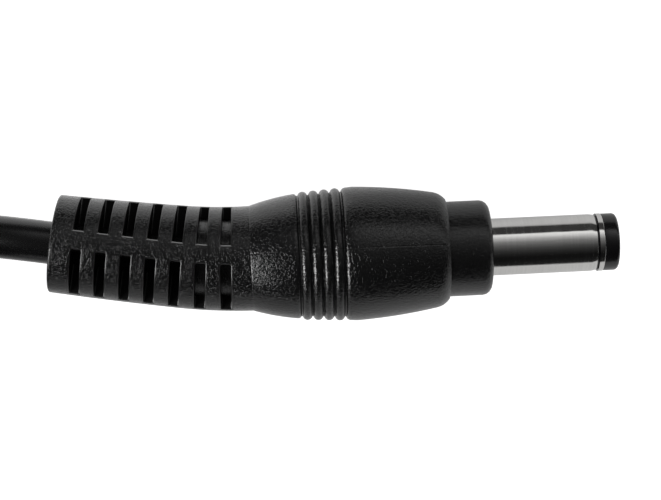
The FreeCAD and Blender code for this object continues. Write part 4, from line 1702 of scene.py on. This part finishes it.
@dataclass(frozen=True)
class CardedStudio:
    """White surroundings, with a lit panel and dark cards that are seen in reflections only.

    Each pair is an angle and a level. The angles are degrees from straight up, towards +Y, round the plug's
    axis. The panel is in front, towards +X, and fades to a dim one behind.
    """

    ambient: float = 0.55
    front: tuple[Pair, ...] = (
        (-91.0, 0.6), (-85.0, 0.02), (-60.0, 0.008), (-46.0, 0.008), (-33.0, 0.02), (-21.0, 0.04),
        (-9.0, 0.08), (3.0, 0.155), (15.0, 0.27), (27.0, 0.56), (36.0, 0.85), (42.0, 1.1),
        (48.0, 1.1), (50.5, 0.05), (82.0, 0.05), (88.0, 0.6),
    )
    behind: tuple[Pair, ...] = (
        (-91.0, 0.5), (-85.0, 0.02), (-46.0, 0.008), (3.0, 0.03), (27.0, 0.07), (48.0, 0.09),
        (52.0, 0.03), (78.0, 0.05), (86.0, 0.7),
    )
    fade: Pair = (-0.35, 0.13)
    fade_power: float = 2.0

    def ramp(self, nodes: Nodes, stops: tuple[Pair, ...], share: Socket) -> Socket:
        """The level at each angle.

        Args:
            nodes: The world's nodes.
            stops: Angles in degrees, each with its level.
            share: The angle, from 0 at -180 degrees to 1 at 180.

        Returns:
            The colour socket.
        """
        node = nodes.add("ShaderNodeValToRGB")
        elements = node.color_ramp.elements
        elements.remove(elements[-1])
        for index, (degrees, level) in enumerate(stops):
            position = math.radians(degrees) / FULL_TURN + 0.5
            element = elements[0] if index == 0 else elements.new(position)
            element.position = position
            element.color = (level, level, level, 1.0)
        nodes.link(share, node.inputs["Fac"])
        return node.outputs["Color"]

    def build(self) -> None:
        """Makes the world."""
        world = bpy.data.worlds.new("studio")
        bpy.context.scene.world = world
        world.use_nodes = True
        world.cycles.sampling_method = "NONE"
        nodes = Nodes(world.node_tree)
        along, across, up = nodes.split(nodes.add("ShaderNodeTexCoord").outputs["Generated"])
        share = nodes.spread(nodes.math("ARCTAN2", across, up), (-math.pi, math.pi), (0.0, 1.0))
        fade = nodes.math("POWER", nodes.spread(along, self.fade, (0.0, 1.0)), self.fade_power)
        cards = nodes.mix(fade, self.ramp(nodes, self.behind, share), self.ramp(nodes, self.front, share))
        path = nodes.add("ShaderNodeLightPath").outputs
        level = nodes.mix(path["Is Glossy Ray"], (self.ambient, self.ambient, self.ambient), cards)
        seen = nodes.math("MAXIMUM", path["Is Camera Ray"], path["Is Transmission Ray"])
        background = nodes.add("ShaderNodeBackground")
        nodes.link(nodes.mix(seen, level, WHITE), background.inputs["Color"])
        nodes.link(background.outputs[0], nodes.add("ShaderNodeOutputWorld").inputs["Surface"])


@dataclass(frozen=True)
class StudioFloor:
    """The pale surface that the plug lies on.

    In reflections it glows by place: evenly in front, and behind from nothing on the -Y side to its most on
    the +Y side. These places are in millimetres, and its own height and size are in metres.
    """

    height: float
    half_size: float = 3.0
    colour: float = 0.62
    glow: float = 0.9
    mirrored_glow: float = 0.2
    side_glow: Pair = (0.0, 0.75)
    sides: Pair = (-17.0, 8.0)
    behind: Pair = (-24.0, -6.0)

    def build(self) -> None:
        """Makes the floor."""
        shape = bmesh.new()
        bmesh.ops.create_grid(shape, x_segments=1, y_segments=1, size=self.half_size)
        bmesh.ops.translate(shape, verts=shape.verts, vec=(0.0, 0.0, self.height))
        mesh = bpy.data.meshes.new("floor")
        shape.to_mesh(mesh)
        shape.free()
        mesh.materials.append(self.finish())
        floor = shown("floor", mesh)

    def finish(self) -> Material:
        """Makes the floor's material.

        Returns:
            A dull grey that glows for the camera and in reflections.
        """
        shader = Shader("pale_floor")
        grey = (self.colour, self.colour, self.colour, 1.0)
        shader.set(shader.surface, Base_Color=grey, Roughness=1.0, Specular_IOR_Level=0.0)
        shader.set(shader.surface, Emission_Color=(*WHITE, 1.0))
        path = shader.add("ShaderNodeLightPath").outputs
        seen = shader.math("MAXIMUM", path["Is Camera Ray"], path["Is Transmission Ray"])
        glow = shader.math("MULTIPLY", seen, self.glow)
        along, across, _ = shader.split(shader.millimetres())
        behind = shader.spread(along, self.behind, (1.0, 0.0))
        beside = shader.spread(across, self.sides, self.side_glow)
        change = shader.math("MULTIPLY", behind, shader.math("SUBTRACT", beside, self.mirrored_glow))
        level = shader.math("ADD", change, self.mirrored_glow)
        mirrored = shader.math("MULTIPLY", path["Is Glossy Ray"], level)
        shader.link(shader.math("ADD", glow, mirrored), shader.surface.inputs["Emission Strength"])
        shader.material.cycles.emission_sampling = "NONE"
        return shader.material


@dataclass(frozen=True)
class Softbox:
    """One area lamp that faces the plug, in metres."""

    name: str
    towards: Vector
    distance: float
    size: Pair
    radiance: float
    lights: bool = True
    mirrored: bool = True
    aim: Vector = Vector((-0.015, 0.0, 0.0))
    long_side: Vector = Vector((0.0, 1.0, 0.0))

    def build(self) -> None:
        """Makes the lamp."""
        lamp = bpy.data.lights.new(self.name, "AREA")
        lamp.shape = "RECTANGLE"
        lamp.size = self.size[0]
        lamp.size_y = self.size[1]
        lamp.energy = self.radiance * math.pi * self.size[0] * self.size[1]
        thing = shown(self.name, lamp)
        thing.visible_diffuse = self.lights
        thing.visible_glossy = self.mirrored
        back = self.towards.normalized()
        across = self.long_side.cross(back).normalized()
        along = back.cross(across)
        turn = Matrix((across, along, back)).transposed().to_4x4()
        thing.matrix_world = Matrix.Translation(self.aim + back * self.distance) @ turn


@dataclass(frozen=True)
class Camera:
    """The camera, close over the plug and looking down, its place in millimetres."""

    target: Vector = Vector((-15.31, 0.44, 0.0))
    distance: float = 180.0
    focal_pixels: float = 1872.0
    lean: float = math.radians(1.6)
    roll: float = math.radians(2.67)
    clip: Pair = (0.01, 20.0)

    def build(self) -> None:
        """Makes the camera."""
        data = bpy.data.cameras.new("camera")
        data.sensor_width = SENSOR_WIDTH
        data.lens = self.focal_pixels * SENSOR_WIDTH / PICTURE_WIDTH
        data.clip_start, data.clip_end = self.clip
        camera = shown("camera", data)
        back = Vector((-math.sin(self.lean), 0.0, math.cos(self.lean)))
        level = Vector((math.cos(self.roll), -math.sin(self.roll), 0.0))
        right = (level - back * level.dot(back)).normalized()
        up = back.cross(right)
        place = (self.target + back * self.distance) * MM
        camera.matrix_world = Matrix.Translation(place) @ Matrix((right, up, back)).transposed().to_4x4()
        bpy.context.scene.camera = camera


def dress_packed_nodes(rack: Rack) -> None:
    """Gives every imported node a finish, the hidden ones too.

    Args:
        rack: The finishes.
    """
    finishes = {
        "nickel": rack.nickel,
        "tip_plastic": rack.tip,
        "insulator": rack.insulator,
        "contact_metal": rack.contact,
        "terminal_metal": rack.tinned,
        "solder": rack.solder,
        "copper": rack.copper,
        "heat_shrink": rack.shrink,
        "core_plastic": rack.core,
        "inner_mould_plastic": rack.collar,
        "grip_pvc": rack.grip,
        "boot_pvc": rack.boot,
        "jacket_pvc": rack.jacket,
        "grommet_rubber": rack.rubber,
        "tie_fabric": rack.strap,
        "tinned_wire": rack.tinned,
    }
    for entry in frame["record"]["subparts"]:
        node = frame["nodes"][entry["node"]]
        for slot in node.material_slots:
            slot.material = finishes[entry["material_slot"]]


def main() -> None:
    """Builds the part, its surroundings and the camera."""
    logging.basicConfig(level=logging.INFO, format="%(message)s")
    scene = bpy.context.scene
    scene.view_settings.view_transform = "Standard"
    rack = Rack.stocked()
    dress_packed_nodes(rack)
    line = BootLine(root=Extent.of("grip").low.x)
    floor = CAD_BOX[0][2]
    Barrel(rack).build()
    Grip(rack, line).build()
    Boot(rack, line).build()
    lead = Lead(rack, line, floor / MM)
    lead.build([Tie(rack).build(), *FarEnd(rack, lead.cut_end()).build()])
    CardedStudio().build()
    StudioFloor(floor).build()
    Softbox(
        "key",
        towards=Vector((-0.55, -0.5, 0.75)),
        distance=0.6,
        size=(0.1, 0.7),
        radiance=6.0,
        mirrored=False,
    ).build()
    Softbox(
        "glint",
        towards=Vector((-1.2, -0.49, 0.75)),
        distance=0.6,
        size=(0.23, 0.47),
        radiance=16.0,
        lights=False,
        long_side=Vector((0.6, 1.0, 0.0)),
    ).build()
    Camera().build()


if __name__ == "__main__":
    main()
